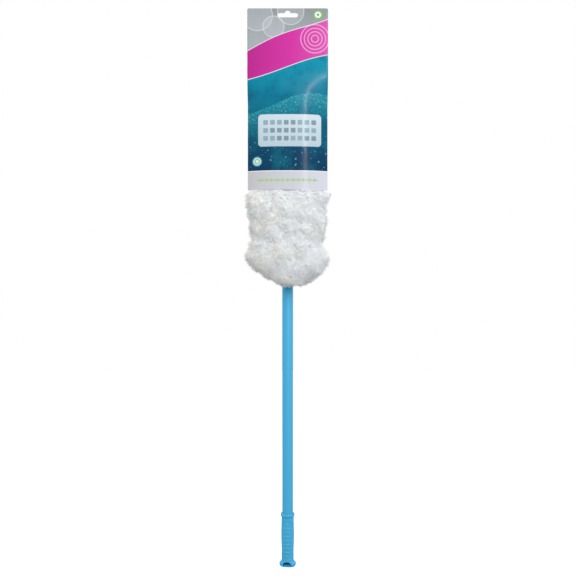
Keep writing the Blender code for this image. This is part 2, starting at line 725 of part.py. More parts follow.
def make_socket(frame, finish, steel):
    axis = (0, POLE_Y)
    taper_end = FORK_ROOT_Z - SOCKET_TAPER
    lip_top = SOCKET_END_Z + SOCKET_LIP
    lip = SOCKET_RADIUS - SOCKET_LIP_RISE
    rings = []
    first = SOCKET_TAPER_shares[1]
    for share in SOCKET_TAPER_shares:
        run = max(share - first, 0) / (1 - first)
        ease = run * run * (3 - 2 * run)
        power = SOCKET_CROWN_POWER ** (1 - ease) * 2 ** ease
        half_x = FORK_RADIUS + (lip - FORK_RADIUS) * ease
        half_y = CHEEK_OUTER + (lip - CHEEK_OUTER) * ease
        z = FORK_ROOT_Z + (taper_end - FORK_ROOT_Z) * share
        rings.append(along("Z", superellipse(half_x, half_y, power, TUBE_SIDES, axis), z))
    for radius, z in ((lip, lip_top), (SOCKET_RADIUS, lip_top), (SOCKET_RADIUS, SOCKET_END_Z)):
        rings.append(along("Z", circle(radius, TUBE_SIDES, axis), z))
    socket = add_piece("handle_socket", loft(rings), frame, finish)

    cheek = arc((0, TILT_Z), FORK_RADIUS, 0, 180, 2 * CORNER_STEPS)
    cheek += [(-FORK_RADIUS, FORK_ROOT_Z - FORK_OVERLAP), (FORK_RADIUS, FORK_ROOT_Z - FORK_OVERLAP)]
    for side in (-1, 1):
        inner = POLE_Y + side * CHEEK_INNER
        outer = POLE_Y + side * CHEEK_OUTER
        join(socket, slab("Y", cheek, inner, outer))
    hole = PIN_RADIUS + PUSH_GAP
    reach = CHEEK_OUTER + CUT_OVERRUN
    cut(socket, turned("Y", (0, TILT_Z), [(hole, POLE_Y - reach), (hole, POLE_Y + reach)], PIN_SIDES))
    bore = INNER_TUBE_RADIUS + SLIDE_GAP
    cut(socket, turned("Z", axis, [(bore, SOCKET_END_Z - CUT_OVERRUN), (bore, SOCKET_FLOOR_Z)]))

    screw_z = TILT_Z - SOCKET_SCREW_DROP
    seat = POLE_Y + lip - SOCKET_SCREW_SEAT
    recess_radius = SCREW_HEAD_RADIUS + HOLE_GAP + PUSH_GAP
    recess = [(recess_radius, seat), (recess_radius, seat + SCREW_HEAD_HEIGHT + CUT_OVERRUN)]
    cut(socket, turned("Y", (0, screw_z), recess, PIN_SIDES))
    clear = SCREW_RADIUS + HOLE_GAP
    cut(socket, turned("Y", (0, screw_z), [(clear, POLE_Y), (clear, seat + CUT_OVERRUN)], PIN_SIDES))
    tip = POLE_Y + INNER_BORE_RADIUS - SOCKET_SCREW_BITE
    screw = screw_shape("Y", (0, screw_z), tip, seat + SEAT_GAP, 1)
    add_piece("socket_screw", screw, frame, steel)


def make_inner_tube(frame, finish):
    axis = (0, POLE_Y)
    ends = (INNER_TUBE_END_Z, INNER_TUBE_TOP_Z)
    tube = pipe("Z", axis, INNER_TUBE_RADIUS, INNER_BORE_RADIUS, *ends)
    inner = add_piece("inner_tube", tube, frame, finish)
    hole = SCREW_RADIUS + HOLE_GAP
    stations = [(hole, POLE_Y), (hole, POLE_Y + SOCKET_RADIUS)]
    cut(inner, turned("Y", (0, TILT_Z - SOCKET_SCREW_DROP), stations, PIN_SIDES))


def make_lock_core(frame, finish):
    """A plug in the inner tube's end, with an off-centre cam between two discs below it."""
    plug = INNER_BORE_RADIUS - PUSH_GAP
    plug_top = INNER_TUBE_END_Z + LOCK_PLUG
    disc_top = INNER_TUBE_END_Z - SEAT_GAP
    stations = [(plug - LOCK_CHAMFER, plug_top, 0), (plug, plug_top - LOCK_CHAMFER, 0)]
    stations += [(plug, disc_top, 0), (LOCK_DISC_RADIUS, disc_top, 0), (LOCK_DISC_RADIUS, CAM_TOP_Z, 0)]
    stations += [(CAM_RADIUS, CAM_TOP_Z, CAM_OFFSET), (CAM_RADIUS, CAM_END_Z, CAM_OFFSET)]
    stations += [(LOCK_DISC_RADIUS, CAM_END_Z, 0), (LOCK_DISC_RADIUS, LOCK_END_Z, 0)]
    rings = []
    for radius, z, offset in stations:
        rings.append(along("Z", circle(radius, TUBE_SIDES, (offset, POLE_Y)), z))
    add_piece("lock_core", loft(rings), frame, finish)


def make_lock_collar(frame, finish):
    """A split ring that the cam presses against the outer tube's bore."""
    outer_gap = math.degrees(COLLAR_SPLIT / 2 / COLLAR_RADIUS)
    inner_gap = math.degrees(COLLAR_SPLIT / 2 / COLLAR_BORE_RADIUS)
    axis = (0, POLE_Y)
    outline = arc(axis, COLLAR_RADIUS, outer_gap, 360 - outer_gap, TUBE_SIDES)
    outline += arc(axis, COLLAR_BORE_RADIUS, 360 - inner_gap, inner_gap, TUBE_SIDES)
    collar = slab("Z", outline, CAM_END_Z + SEAT_GAP, CAM_TOP_Z - SEAT_GAP)
    add_piece("lock_collar", collar, frame, finish)


def make_outer_tube(frame, finish, bush_finish):
    axis = (0, POLE_Y)
    ends = (OUTER_TUBE_END_Z, OUTER_TUBE_TOP_Z)
    tube = pipe("Z", axis, OUTER_TUBE_RADIUS, OUTER_BORE_RADIUS, *ends)
    add_piece("outer_tube", tube, frame, finish)
    bore = INNER_TUBE_RADIUS + SLIDE_GAP
    sleeve = bore + BUSH_WALL
    flange_z = BUSH_TOP_Z - BUSH_FLANGE
    end = flange_z - BUSH_SLEEVE
    stations = [(bore, BUSH_TOP_Z), (BUSH_FLANGE_RADIUS, BUSH_TOP_Z), (BUSH_FLANGE_RADIUS, flange_z)]
    stations += [(sleeve, flange_z), (sleeve, end), (bore, end)]
    add_piece("mouth_bush", turned("Z", axis, stations, closed=True), frame, bush_finish)


def grip_body_stations(rise=0):
    """Radius and level of the grip's plain body, from its bead down to its flared end."""
    body_top = GRIP_TOP_Z - GRIP_BEAD
    swell_top = GRIP_TOP_Z - PANEL_DROP
    swell_end = swell_top - PANEL_LENGTH / 3
    waist_z = GRIP_END_Z + GRIP_END + GRIP_END_FLARE
    stations = [(GRIP_MOUTH_RADIUS, body_top), (GRIP_SWELL_RADIUS, swell_top)]
    stations += [(GRIP_SWELL_RADIUS, swell_end), (GRIP_WAIST_RADIUS, waist_z)]
    return [(radius + rise, z) for radius, z in stations]


def grip_rings():
    """The grip's outside as rings: half width, half depth, roundness and level."""
    shoulder = (GRIP_BEAD_RADIUS + GRIP_MOUTH_RADIUS) / 2
    bead_end = GRIP_TOP_Z - GRIP_BEAD
    bead = [(shoulder, GRIP_TOP_Z), (GRIP_BEAD_RADIUS, GRIP_TOP_Z - GRIP_BEAD / 4)]
    bead += [(GRIP_BEAD_RADIUS, bead_end + GRIP_BEAD / 4), (shoulder, bead_end)]
    rings = [(radius, radius, 2, z) for radius, z in bead + grip_body_stations()]
    half_x = GRIP_END_WIDTH / 2
    half_y = GRIP_END_DEPTH / 2
    end_top = GRIP_END_Z + GRIP_END
    rings.append((half_x - GRIP_END_ROUND, half_y, GRIP_END_POWER, end_top - GRIP_END_FLARE / 3))
    rings.append((half_x, half_y, GRIP_END_POWER, end_top - GRIP_END_FLARE))
    rings.append((half_x, half_y, GRIP_END_POWER, GRIP_END_Z + GRIP_END_ROUND))
    rounding = GRIP_END_ROUND / 2
    rings.append((half_x - rounding, half_y - rounding, GRIP_END_POWER, GRIP_END_Z))
    return rings


def panel_outline():
    """The raised panel on each side of the grip: round at its top and bottom."""
    top = GRIP_TOP_Z - PANEL_DROP
    middle = (0, top - PANEL_LENGTH / 2)
    return rounded_rectangle(PANEL_WIDTH, PANEL_LENGTH, PANEL_WIDTH / 2 - SEAT_GAP, middle)


def rib_outlines():
    """Plain cross ribs in the panel, evenly spaced about its middle."""
    middle = GRIP_TOP_Z - PANEL_DROP - PANEL_LENGTH / 2
    ribs = []
    for index in range(RIB_COUNT):
        z = middle + RIB_PITCH * (index - (RIB_COUNT - 1) / 2)
        ribs.append(rounded_rectangle(PANEL_WIDTH * RIB_WIDTH_share, RIB_HEIGHT, RIB_HEIGHT / 3, (0, z), 2))
    return ribs


def hang_hole_outline():
    half = HANG_HOLE_WIDTH / 2
    arch_height = HANG_HOLE_HEIGHT * HANG_ARCH_share
    spring_z = HANG_HOLE_Z + HANG_HOLE_HEIGHT - arch_height
    outline = [(-half, HANG_HOLE_Z), (half, HANG_HOLE_Z)]
    for across, up in arc((0, 0), 1, 0, 180, 2 * CORNER_STEPS):
        outline.append((half * across, spring_z + arch_height * up))
    return outline


def make_grip(frame, finish):
    axis = (0, POLE_Y)
    rings = []
    for half_x, half_y, power, z in grip_rings():
        rings.append(along("Z", superellipse(half_x, half_y, power, GRIP_SIDES, axis), z))
    grip = add_piece("grip_sleeve", loft(rings), frame, finish)
    low_y = POLE_Y - GRIP_END_DEPTH
    high_y = POLE_Y + GRIP_END_DEPTH
    panel_skin = turned("Z", axis, grip_body_stations(PANEL_RISE), GRIP_SIDES)
    join(grip, panel_skin, slab("Y", panel_outline(), low_y, high_y))
    rib_skin = turned("Z", axis, grip_body_stations(PANEL_RISE + RIB_RISE), GRIP_SIDES)
    join(grip, rib_skin, gathered([slab("Y", rib, low_y, high_y) for rib in rib_outlines()]))
    cut(grip, slab("Y", hang_hole_outline(), low_y, high_y))
    bore = OUTER_TUBE_RADIUS + SLIDE_GAP
    cut(grip, turned("Z", axis, [(bore, GRIP_BORE_END_Z), (bore, GRIP_TOP_Z + CUT_OVERRUN)]))
    grip.rotation_euler.z = GRIP_TURN


def build():
    clear_scene()
    printed_card = material("printed_card", (0.10, 0.36, 0.45), 0.35)
    white_pile = material("white_pile", (0.82, 0.84, 0.85), 0.95)
    white_cloth = material("white_cloth", (0.78, 0.78, 0.80), 0.9)
    lilac_cloth = material("lilac_cloth", (0.72, 0.71, 0.80), 0.9)
    white_tape = material("white_tape", (0.80, 0.80, 0.82), 0.85)
    grey_plastic = material("grey_plastic", (0.62, 0.64, 0.66), 0.5)
    soft_rubber = material("soft_rubber", (0.45, 0.47, 0.50), 0.7)
    blue_plastic = material("blue_plastic", (0.05, 0.40, 0.66), 0.45)
    blue_paint = material("blue_paint", (0.04, 0.44, 0.70), 0.35)
    bare_steel = material("bare_steel", (0.62, 0.63, 0.65), 0.3, 1.0)
    zinc_steel = material("zinc_steel", (0.70, 0.70, 0.70), 0.35, 1.0)
    white_plastic = material("white_plastic", (0.85, 0.85, 0.85), 0.4)

    sleeve = body_frame("sleeve_frame", (0, 0, 0))
    head = body_frame("head_frame", (0, 0, HEAD_CENTRE_Z), sleeve)
    fold = body_frame("fold_frame", (0, POLE_Y, FOLD_Z), head)
    tilt = body_frame("tilt_frame", (0, POLE_Y, TILT_Z), fold)
    lock = body_frame("lock_frame", (0, POLE_Y, CAM_TOP_Z), tilt)
    pole = body_frame("pole_frame", (0, POLE_Y, GRIP_END_Z), lock)

    make_card_sleeve(sleeve, printed_card)
    make_frame_plate(head, grey_plastic)
    make_soft_edges(head, soft_rubber)
    make_cover(head, white_cloth, lilac_cloth, white_tape)
    make_pile(head, white_pile)
    make_bracket(head, grey_plastic, zinc_steel)
    make_pin("fold_pin", "X", (POLE_Y, FOLD_Z), 0, EAR_OUTER_X, head, zinc_steel, white_plastic)
    make_link(fold, blue_plastic)
    make_socket(tilt, blue_plastic, zinc_steel)
    make_pin("tilt_pin", "Y", (0, TILT_Z), POLE_Y, CHEEK_OUTER, tilt, zinc_steel, white_plastic)
    make_inner_tube(tilt, bare_steel)
    make_lock_core(tilt, white_plastic)
    make_lock_collar(lock, white_plastic)
    make_outer_tube(pole, blue_paint, blue_plastic)
    make_grip(pole, blue_plastic)


build()
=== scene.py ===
"""Looks of the floor and wall duster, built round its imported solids. Metres, in the frame of the solids:
+Z up, +X to the viewer's right, +Y away from the viewer, origin at the top of the hang slot."""

import math

import bmesh
import bpy
import numpy as np
from mathutils import Matrix, Vector, kdtree


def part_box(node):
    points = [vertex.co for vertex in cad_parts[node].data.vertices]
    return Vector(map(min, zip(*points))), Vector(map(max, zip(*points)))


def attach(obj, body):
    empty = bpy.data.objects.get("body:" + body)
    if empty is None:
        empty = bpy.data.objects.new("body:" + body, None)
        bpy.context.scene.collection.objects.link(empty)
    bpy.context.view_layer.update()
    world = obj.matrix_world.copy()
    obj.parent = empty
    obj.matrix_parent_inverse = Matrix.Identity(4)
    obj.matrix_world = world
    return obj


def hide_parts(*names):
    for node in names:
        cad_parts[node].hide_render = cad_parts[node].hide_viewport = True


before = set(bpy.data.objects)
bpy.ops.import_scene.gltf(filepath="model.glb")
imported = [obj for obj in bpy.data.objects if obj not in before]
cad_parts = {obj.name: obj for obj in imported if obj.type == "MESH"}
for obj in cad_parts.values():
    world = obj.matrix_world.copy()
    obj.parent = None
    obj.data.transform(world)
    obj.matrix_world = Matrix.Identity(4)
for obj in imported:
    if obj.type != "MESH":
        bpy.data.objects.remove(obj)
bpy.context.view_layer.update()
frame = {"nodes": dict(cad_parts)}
nodes = frame["nodes"]

# Places and sizes, as in the solids
LIP_Z, CARD_TOP_Z = [corner.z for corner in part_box("card_sleeve")]
CARD_HALF = 0.080
CARD_CORNER = 0.003
CARD_EDGE = 0.00065
GLUE = 0.0001
HEADER_END_Z = -0.103
BULGE_RUN = 0.097
BULGE = 0.012
FRONT_FULLNESS = 2.8
BACK_FULLNESS = 3.2
FOLD_MARGIN = 0.002

SLOT_WIDTH = 0.0408
SLOT_BAND = 0.0087
SLOT_BUMP_RADIUS = 0.00575
SLOT_BUMP_RISE = 0.0049

HEAD_TOP_Z = LIP_Z + 0.216
HEAD_END_Z = HEAD_TOP_Z - 0.410
HEAD_CENTRE_Z = HEAD_TOP_Z - 0.205
BINDING = 0.0028
SEAM = 0.0003
CLOTH_EDGE = 0.0002
PILE_HALF = 0.085
PILE_DEPTH = 0.028
PILE_RIM = 0.0055
PRESSED_HALF = 0.074
PRESSED_TOP_HALF = 0.028
PRESSED_TOP_RUN = 0.044
PRESSED_RIM = 0.0035
OPENING_Z = LIP_Z + 0.0006

# Width, height and corner radius of the pad, and of the window for the swivel in its back
PAD = (0.120, 0.374, 0.044)
WINDOW = (0.060, 0.046, 0.012)

POLE_Y = 0.020
FOLD_Z = HEAD_CENTRE_Z
TILT_Z = FOLD_Z - 0.022

PANEL_DROP = 0.0168
PANEL_HALF_Z = 0.0357
HOLE_HALF = 0.00875
HOLE_RISE = 0.0071
GRIP_TURN = math.radians(-7)

# Each row: how far down the free pile, its left and right reach and its depth, as shares
PILE_SHARES = np.array((
    (0.00, 0.94, 1.01, 0.50), (0.02, 0.97, 1.03, 0.62), (0.06, 0.97, 1.00, 0.80), (0.14, 0.96, 0.93, 0.93),
    (0.25, 0.92, 0.94, 0.99), (0.35, 0.91, 0.94, 1.00), (0.43, 0.86, 0.87, 0.97), (0.51, 0.86, 0.83, 0.95),
    (0.58, 0.92, 0.85, 0.98), (0.64, 1.00, 0.94, 1.02), (0.68, 0.99, 0.98, 1.02), (0.74, 0.90, 0.93, 1.00),
    (0.79, 0.81, 0.86, 0.97), (0.84, 0.66, 0.79, 0.90), (0.89, 0.58, 0.61, 0.80), (0.93, 0.33, 0.47, 0.68),
    (0.947, 0.06, 0.40, 0.58), (0.985, -0.12, 0.27, 0.26),
))

# The pile's lower end hangs lower at its right: the slope, how far under the lip it starts, and its run
END_LEAN = 0.06
END_DROP = 0.150
END_RUN = 0.035

# The pile's clumps: height, wavelength and the seed of each field of waves
CLUMPS = ((0.0014, 0.036, 11), (0.0006, 0.016, 12), (0.0004, 0.006, 13))

# How much of a strand's shading comes from the surface that it grows on, and the stations along a tuft
SOFTNESS = 1.7
ALONG = np.linspace(0, 1, 5)[None, :, None]

# The blue of the pole and its plastic, then the camera, the floor and the surround's strength
BLUE = (0.038, 0.330, 0.560)
CAMERA_PLACE = (0.0007, -1.376, -0.5488)
CAMERA_LENS = 43.47
FLOOR_Z = -1.42
WORLD_BELOW = 0.50
WORLD_ABOVE = 1.24


def srgb(red, green, blue):
    """A colour given in display values from 0 to 255, as linear light."""
    shares = (value / 255 for value in (red, green, blue))
    return tuple(s / 12.92 if s <= 0.04045 else ((s + 0.055) / 1.055) ** 2.4 for s in shares)


def scaled(colour, factor):
    """A colour made lighter or darker."""
    return tuple(min(factor * value, 1.0) for value in colour)


def linked(name, data):
    """An object of some data, put in the scene."""
    item = bpy.data.objects.new(name, data)
    bpy.context.scene.collection.objects.link(item)
    return item


def area_light(name, place, target, width, height, power):
    data = bpy.data.lights.new(name, "AREA")
    data.shape = "RECTANGLE"
    data.size = width
    data.size_y = height
    data.energy = power
    light = linked(name, data)
    light.location = place
    light.rotation_euler = (Vector(target) - light.location).to_track_quat("-Z", "Y").to_euler()


def make_studio():
    scene = bpy.context.scene
    scene.view_settings.view_transform = "Standard"
    camera_data = bpy.data.cameras.new("camera")
    camera_data.lens = CAMERA_LENS
    camera_data.sensor_width = 36.0
    camera = linked("camera", camera_data)
    camera.location = CAMERA_PLACE
    camera.rotation_euler = (math.radians(90), 0, 0)
    scene.camera = camera

    scene.world = white_studio()
    area_light("key", (0.9, -1.5, 1.1), (0, 0, -0.6), 1.8, 1.4, 16)
    area_light("strip", (0.43, -1.78, 0.55), (0, 0, -0.2), 0.08, 1.7, 13)
    area_light("back fill", (-0.9, 2.0, 0.9), (0, 0, -0.5), 1.3, 1.3, 22)

    bm = bmesh.new()
    bmesh.ops.create_grid(bm, x_segments=4, y_segments=4, size=6.0)
    floor = mesh_from("floor", bm)
    floor.location.z = FLOOR_Z
    pale = Surface("pale floor", (0.94, 0.94, 0.94), 0.9)
    pale.tint(pale.noise(3.0, detail=3), (0.95, 0.95, 0.95), (0.93, 0.93, 0.94))
    pale.set("Emission Color", (1.0, 1.0, 1.0))
    pale.set("Emission Strength", 0.25)
    floor.data.materials.append(pale.material)
    floor.visible_diffuse = False
    floor.visible_glossy = False
    floor.visible_shadow = False


def white_studio():
    """A white surround that lights the object softly, more from above than from below."""
    world = bpy.data.worlds.new("white studio")
    world.use_nodes = True
    sky = Nodes(world.node_tree, "Generated")
    level = sky.span(sky.axes()[2], -1.0, 1.0, WORLD_BELOW, WORLD_ABOVE)
    seen = sky.node("LightPath", {}).outputs["Is Camera Ray"]
    background = sky.tree.nodes["Background"]
    sky.feed(background.inputs["Strength"], sky.node("Mix", {0: seen, 2: level, 3: 1.0}).outputs[0])
    sky.feed(background.inputs["Color"], (1.0, 1.0, 1.0))
    return world


# Materials

class Value:
    """A number that changes over a surface. Arithmetic with it adds Math nodes."""

    def __init__(self, nodes, socket):
        self.nodes = nodes
        self.socket = socket

    def __add__(self, other):
        return self.nodes.math("ADD", self, other)

    def __sub__(self, other):
        return self.nodes.math("SUBTRACT", self, other)

    def __rsub__(self, other):
        return self.nodes.math("SUBTRACT", other, self)

    def __mul__(self, other):
        return self.nodes.math("MULTIPLY", self, other)

    def __truediv__(self, other):
        return self.nodes.math("DIVIDE", self, other)

    def __abs__(self):
        return self.nodes.math("ABSOLUTE", self)


class Nodes:
    """Helpers that add procedural nodes to a tree."""

    def __init__(self, tree, coordinates):
        self.tree = tree
        self.where = self.node("TexCoord", {}).outputs[coordinates]

    def feed(self, socket, value):
        """Links a socket to a value, or sets it to a constant."""
        if isinstance(value, Value):
            value = value.socket
        if isinstance(value, bpy.types.NodeSocket):
            self.tree.links.new(value, socket)
        elif isinstance(value, tuple) and len(value) == 3 and socket.type == "RGBA":
            socket.default_value = (*value, 1.0)
        else:
            socket.default_value = value

    def node(self, kind, inputs, **settings):
        made = self.tree.nodes.new("ShaderNode" + kind)
        for name, value in settings.items():
            setattr(made, name, value)
        for name, value in inputs.items():
            self.feed(made.inputs[name], value)
        return made

    def value(self, kind, inputs, output=0, **settings):
        """The number that a new node gives."""
        return Value(self, self.node(kind, inputs, **settings).outputs[output])

    def math(self, operation, *values):
        return self.value("Math", dict(enumerate(values)), operation=operation)

    def stretched(self, across, along, up):
        return self.node("Mapping", {"Vector": self.where, "Scale": (across, along, up)}).outputs[0]

    def axes(self):
        made = self.node("SeparateXYZ", {0: self.where})
        return [Value(self, socket) for socket in made.outputs]

    def noise(self, scale, detail=2.0, roughness=0.5, where=None):
        inputs = {"Vector": where or self.where, "Scale": scale, "Detail": detail, "Roughness": roughness}
        return self.value("TexNoise", inputs)

    def cells(self, scale, where=None):
        """The distance from each cell's middle, and each cell's own chance colour."""
        made = self.node("TexVoronoi", {"Vector": where or self.where, "Scale": scale})
        return Value(self, made.outputs[0]), made.outputs[1]

    def bands(self, scale, direction):
        return self.value("TexWave", {"Vector": self.where, "Scale": scale}, 1, bands_direction=direction)

    def step(self, value, edge, softness):
        """0 under the edge and 1 over it."""
        inputs = {"Value": value, "From Min": edge - softness, "From Max": edge + softness}
        return self.value("MapRange", inputs, interpolation_type="SMOOTHSTEP")

    def span(self, value, low, high, to_low=0.0, to_high=1.0):
        inputs = {"Value": value, "From Min": low, "From Max": high, "To Min": to_low, "To Max": to_high}
        return self.value("MapRange", inputs)

    def mix(self, factor, first, second):
        return self.node("Mix", {0: factor, 6: first, 7: second}, data_type="RGBA").outputs[2]

    def ramp(self, value, *stops):
        """A colour ramp through (place, colour) stops."""
        made = self.node("ValToRGB", {0: value})
        elements = made.color_ramp.elements
        while len(elements) < len(stops):
            elements.new(0.5)
        for element, (place, colour) in zip(elements, stops):
            element.position = place
            element.color = (*colour, 1.0)
        return made.outputs[0]


class Surface(Nodes):
    """A Principled material."""

    def __init__(self, name, colour, roughness, metallic=0.0):
        self.material = bpy.data.materials.new(name)
        self.material.use_nodes = True
        super().__init__(self.material.node_tree, "Object")
        self.shader = self.tree.nodes["Principled BSDF"]
        self.set("Base Color", colour)
        self.set("Roughness", roughness)
        self.set("Metallic", metallic)

    def set(self, name, value):
        self.feed(self.shader.inputs[name], value)

    def tint(self, factor, first, second):
        self.set("Base Color", self.mix(factor, first, second))

    def bump(self, height, strength, distance):
        inputs = {"Strength": strength, "Distance": distance, "Height": height}
        self.set("Normal", self.node("Bump", inputs).outputs[0])

    def sheen(self, weight, roughness, specular):
        self.set("Sheen Weight", weight)
        self.set("Sheen Roughness", roughness)
        self.set("Specular IOR Level", specular)


class Print(Surface):
    """A printed surface: shapes painted one over another in the card's plane. A mask is 1 in its shape."""

    def __init__(self, name):
        super().__init__(name, (0.8, 0.8, 0.8), 0.32)
        self.x, _, self.z = self.axes()
        self.colour = (0.8, 0.8, 0.8)

    def paint(self, mask, colour, opacity=1.0):
        self.colour = self.mix(mask if opacity == 1.0 else mask * opacity, self.colour, colour)

    def inside(self, value, edge, softness=0.0004):
        return 1.0 - self.step(value, edge, softness)

    def length(self, across, up):
        return self.math("SQRT", across * across + up * up)

    def disc(self, x, z, radius, softness=0.0004):
        return self.inside(self.length(self.x - x, self.z - z), radius, softness)

    def ring(self, x, z, radius, width):
        return self.inside(abs(self.length(self.x - x, self.z - z) - radius), width / 2)

    def rounded(self, across, up, half_x, half_z, radius, softness):
        """A rounded rectangle, from the distances across and up from its middle."""
        over_x = self.math("MAXIMUM", across - (half_x - radius), 0.0)
        over_z = self.math("MAXIMUM", up - (half_z - radius), 0.0)
        return self.inside(self.length(over_x, over_z), radius, softness)

    def panel(self, x, z, half_x, half_z, radius):
        return self.rounded(abs(self.x - x), abs(self.z - z), half_x, half_z, radius, 0.0004)

    def tiles(self, pitch_x, pitch_z, half, radius, x, z):
        """Small rounded squares in rows."""
        across = self.math("PINGPONG", self.x - x, pitch_x / 2)
        up = self.math("PINGPONG", self.z - z, pitch_z / 2)
        return self.rounded(across, up, half, half, radius, 0.0003)

    def lozenges(self, pitch, half_x, half_z, z, reach, x=0.0):
        """A row of diamonds along a level."""
        size = self.math("PINGPONG", self.x - x, pitch / 2) / half_x + abs(self.z - z) / half_z
        return self.inside(size, 1.0, 0.10) * self.inside(abs(self.x), reach, 0.0003)

    def chance_cells(self, x, z, pitch_x, pitch_z):
        """A chance choice of about half the cells of a grid."""
        column = self.math("FLOOR", (self.x - x) / pitch_x)
        row = self.math("ROUND", (self.z - z) / pitch_z)
        mixed = self.math("SINE", column * 12.9898 + row * 78.233)
        return self.step(self.math("FRACT", mixed * 43.7), 0.5, 0.001)

    def speckles(self, scale, size, softness, least):
        """Round dots in the cells whose chance number is over the least."""
        distance, colour = self.cells(scale, self.stretched(1.0, 0.02, 1.0))
        chance = self.value("SeparateColor", {0: colour})
        return self.inside(distance, size, softness) * self.step(chance, least, 0.02)

    def swoop(self, start, slope, swell, wavelength, phase):
        """A level that runs across the card as a slope with a wave on it."""
        wave = self.math("SINE", self.x * (2 * math.pi / wavelength) + phase)
        return self.x * slope + wave * swell + start

    def under(self, level, softness=0.0004):
        return self.step(level - self.z, 0.0, softness)

    def line(self, level, half):
        return self.inside(abs(self.z - level), half, 0.0003)

    def glossed(self):
        """The finished print under gloss: mostly smooth, with the faint waviness of thin card."""
        self.set("Base Color", self.colour)
        self.set("Specular IOR Level", 0.10)
        self.set("Roughness", self.span(self.noise(60.0, detail=3), 0.3, 0.7, 0.13, 0.19))
        slow = self.noise(18.0, detail=1, where=self.stretched(1.0, 1.0, 0.35))
        self.bump(slow + self.noise(900.0) * 0.02, 0.25, 0.0007)
        return self.material


def ink(red, green, blue):
    """A printed colour, as it should look under the studio's lights."""
    return scaled(srgb(red, green, blue), 0.80)


def make_front_print():
    """A generic shop print: a silver field, a magenta band, deep water colours, a pale tile panel and a
    pale foot."""
    art = Print("card front print")
    art.colour = art.ramp(
        art.span(art.z, -0.330, -0.100), (0.0, ink(4, 54, 86)), (0.22, ink(4, 68, 100)),
        (0.42, ink(2, 92, 118)), (0.70, ink(0, 116, 145)), (1.0, ink(0, 144, 171)))
    cloud = art.noise(28.0, detail=4, roughness=0.6)
    art.paint(art.span(cloud, 0.50, 0.75), ink(24, 140, 160), 0.35)
    art.paint(art.span(cloud, 0.47, 0.25), ink(6, 42, 90), 0.45)

    # a soft pale wave under the band, and small round lights in the deep
    sweep = art.swoop(-0.182, 0.16, 0.010, 0.21, 0.6)
    glow = art.under(sweep, 0.001) * art.span(sweep - art.z, 0.055, 0.0)
    art.paint(glow, ink(40, 160, 172), 0.40)
    for scale, size, colour, opacity in (
        (110.0, 0.14, ink(120, 206, 216), 0.50), (62.0, 0.10, ink(150, 220, 228), 0.50),
        (170.0, 0.17, ink(90, 176, 196), 0.45), (85.0, 0.13, ink(2, 30, 60), 0.55),
    ):
        art.paint(art.speckles(scale, size, 0.05, 0.50) * art.under(sweep, 0.006), colour, opacity)
    art.paint(art.speckles(430.0, 0.30, 0.10, 0.35) * glow, ink(126, 204, 212), 0.75)

    # the silver field above the band, with faint large rings
    lower = art.swoop(-0.112, 0.24, 0.006, 0.26, 0.2)
    upper = art.swoop(-0.046, 0.42, 0.005, 0.22, 2.2)
    field = 1.0 - art.under(upper)
    silver = art.mix(art.noise(14.0, detail=3), ink(150, 161, 165), ink(194, 200, 204))
    darker = art.mix(0.55, silver, ink(110, 116, 118))
    art.paint(field, art.mix(art.span(art.z, -0.110, 0.0), silver, darker))
    for x, z, radius in ((-0.060, -0.010, 0.030), (-0.028, -0.032, 0.021), (0.006, -0.002, 0.026)):
        art.paint(art.ring(x, z, radius, 0.0016) * field, ink(216, 220, 224), 0.7)
        art.paint(art.disc(x, z, radius) * field, ink(200, 205, 212), 0.28)

    # the magenta band, with a pale line along each side and ripples at its right end
    band = art.under(upper) * (1.0 - art.under(lower))
    across = art.span(art.x, -CARD_HALF, CARD_HALF)
    magenta = art.ramp(across, (0.0, ink(184, 38, 140)), (0.55, ink(206, 52, 160)), (1.0, ink(214, 84, 174)))
    art.paint(band, magenta)
    for radius in (0.007, 0.014, 0.021, 0.028):
        art.paint(band * art.ring(0.054, -0.056, radius, 0.0022), ink(240, 190, 226), 0.60)
    for level in (upper, lower):
        art.paint(art.line(level, 0.0009), ink(220, 230, 236), 0.85)

    # a pale panel of small tiles
    x, z = 0.004, -0.2395
    pitch_x, pitch_z = 0.0135, 0.0156
    pale = art.mix(art.span(art.z, -0.272, -0.208), ink(184, 204, 214), ink(206, 222, 230))
    art.paint(art.panel(x, z, 0.0620, 0.0315, 0.0070), pale)
    tiles = art.tiles(pitch_x, pitch_z, 0.0046, 0.0014, x + pitch_x / 2, z)
    rows = art.panel(x, z, 0.0540, 0.0234, 0.0010) * tiles
    art.paint(rows, ink(84, 116, 132), 0.72)
    art.paint(rows * art.chance_cells(x, z, pitch_x, pitch_z), ink(150, 182, 196), 0.65)

    # small rings of its own at the upper right and the lower left
    for x, z, radius, colour in (
        (0.0600, -0.0085, 0.0088, ink(134, 190, 60)), (0.0600, -0.0085, 0.0062, ink(232, 242, 234)),
        (0.0600, -0.0085, 0.0026, ink(96, 170, 196)), (-0.0600, -0.3000, 0.0100, ink(60, 144, 184)),
        (-0.0600, -0.3000, 0.0076, ink(214, 234, 226)),
    ):
        art.paint(art.disc(x, z, radius), colour)
    art.paint(art.ring(-0.0600, -0.3000, 0.0045, 0.0018), ink(128, 186, 70))

    # the pale foot with a row of soft green lozenges
    art.paint(art.under(-0.3185), art.mix(across, ink(196, 197, 201), ink(212, 214, 226)))
    art.paint(art.line(-0.3188, 0.0007), ink(240, 242, 246))
    art.paint(art.lozenges(0.0105, 0.0034, 0.0042, -0.3370, 0.058), ink(164, 204, 104), 0.85)
    art.paint(art.lozenges(0.0105, 0.0014, 0.0018, -0.3370, 0.062, 0.00525), ink(126, 178, 96), 0.85)
    return art.glossed()


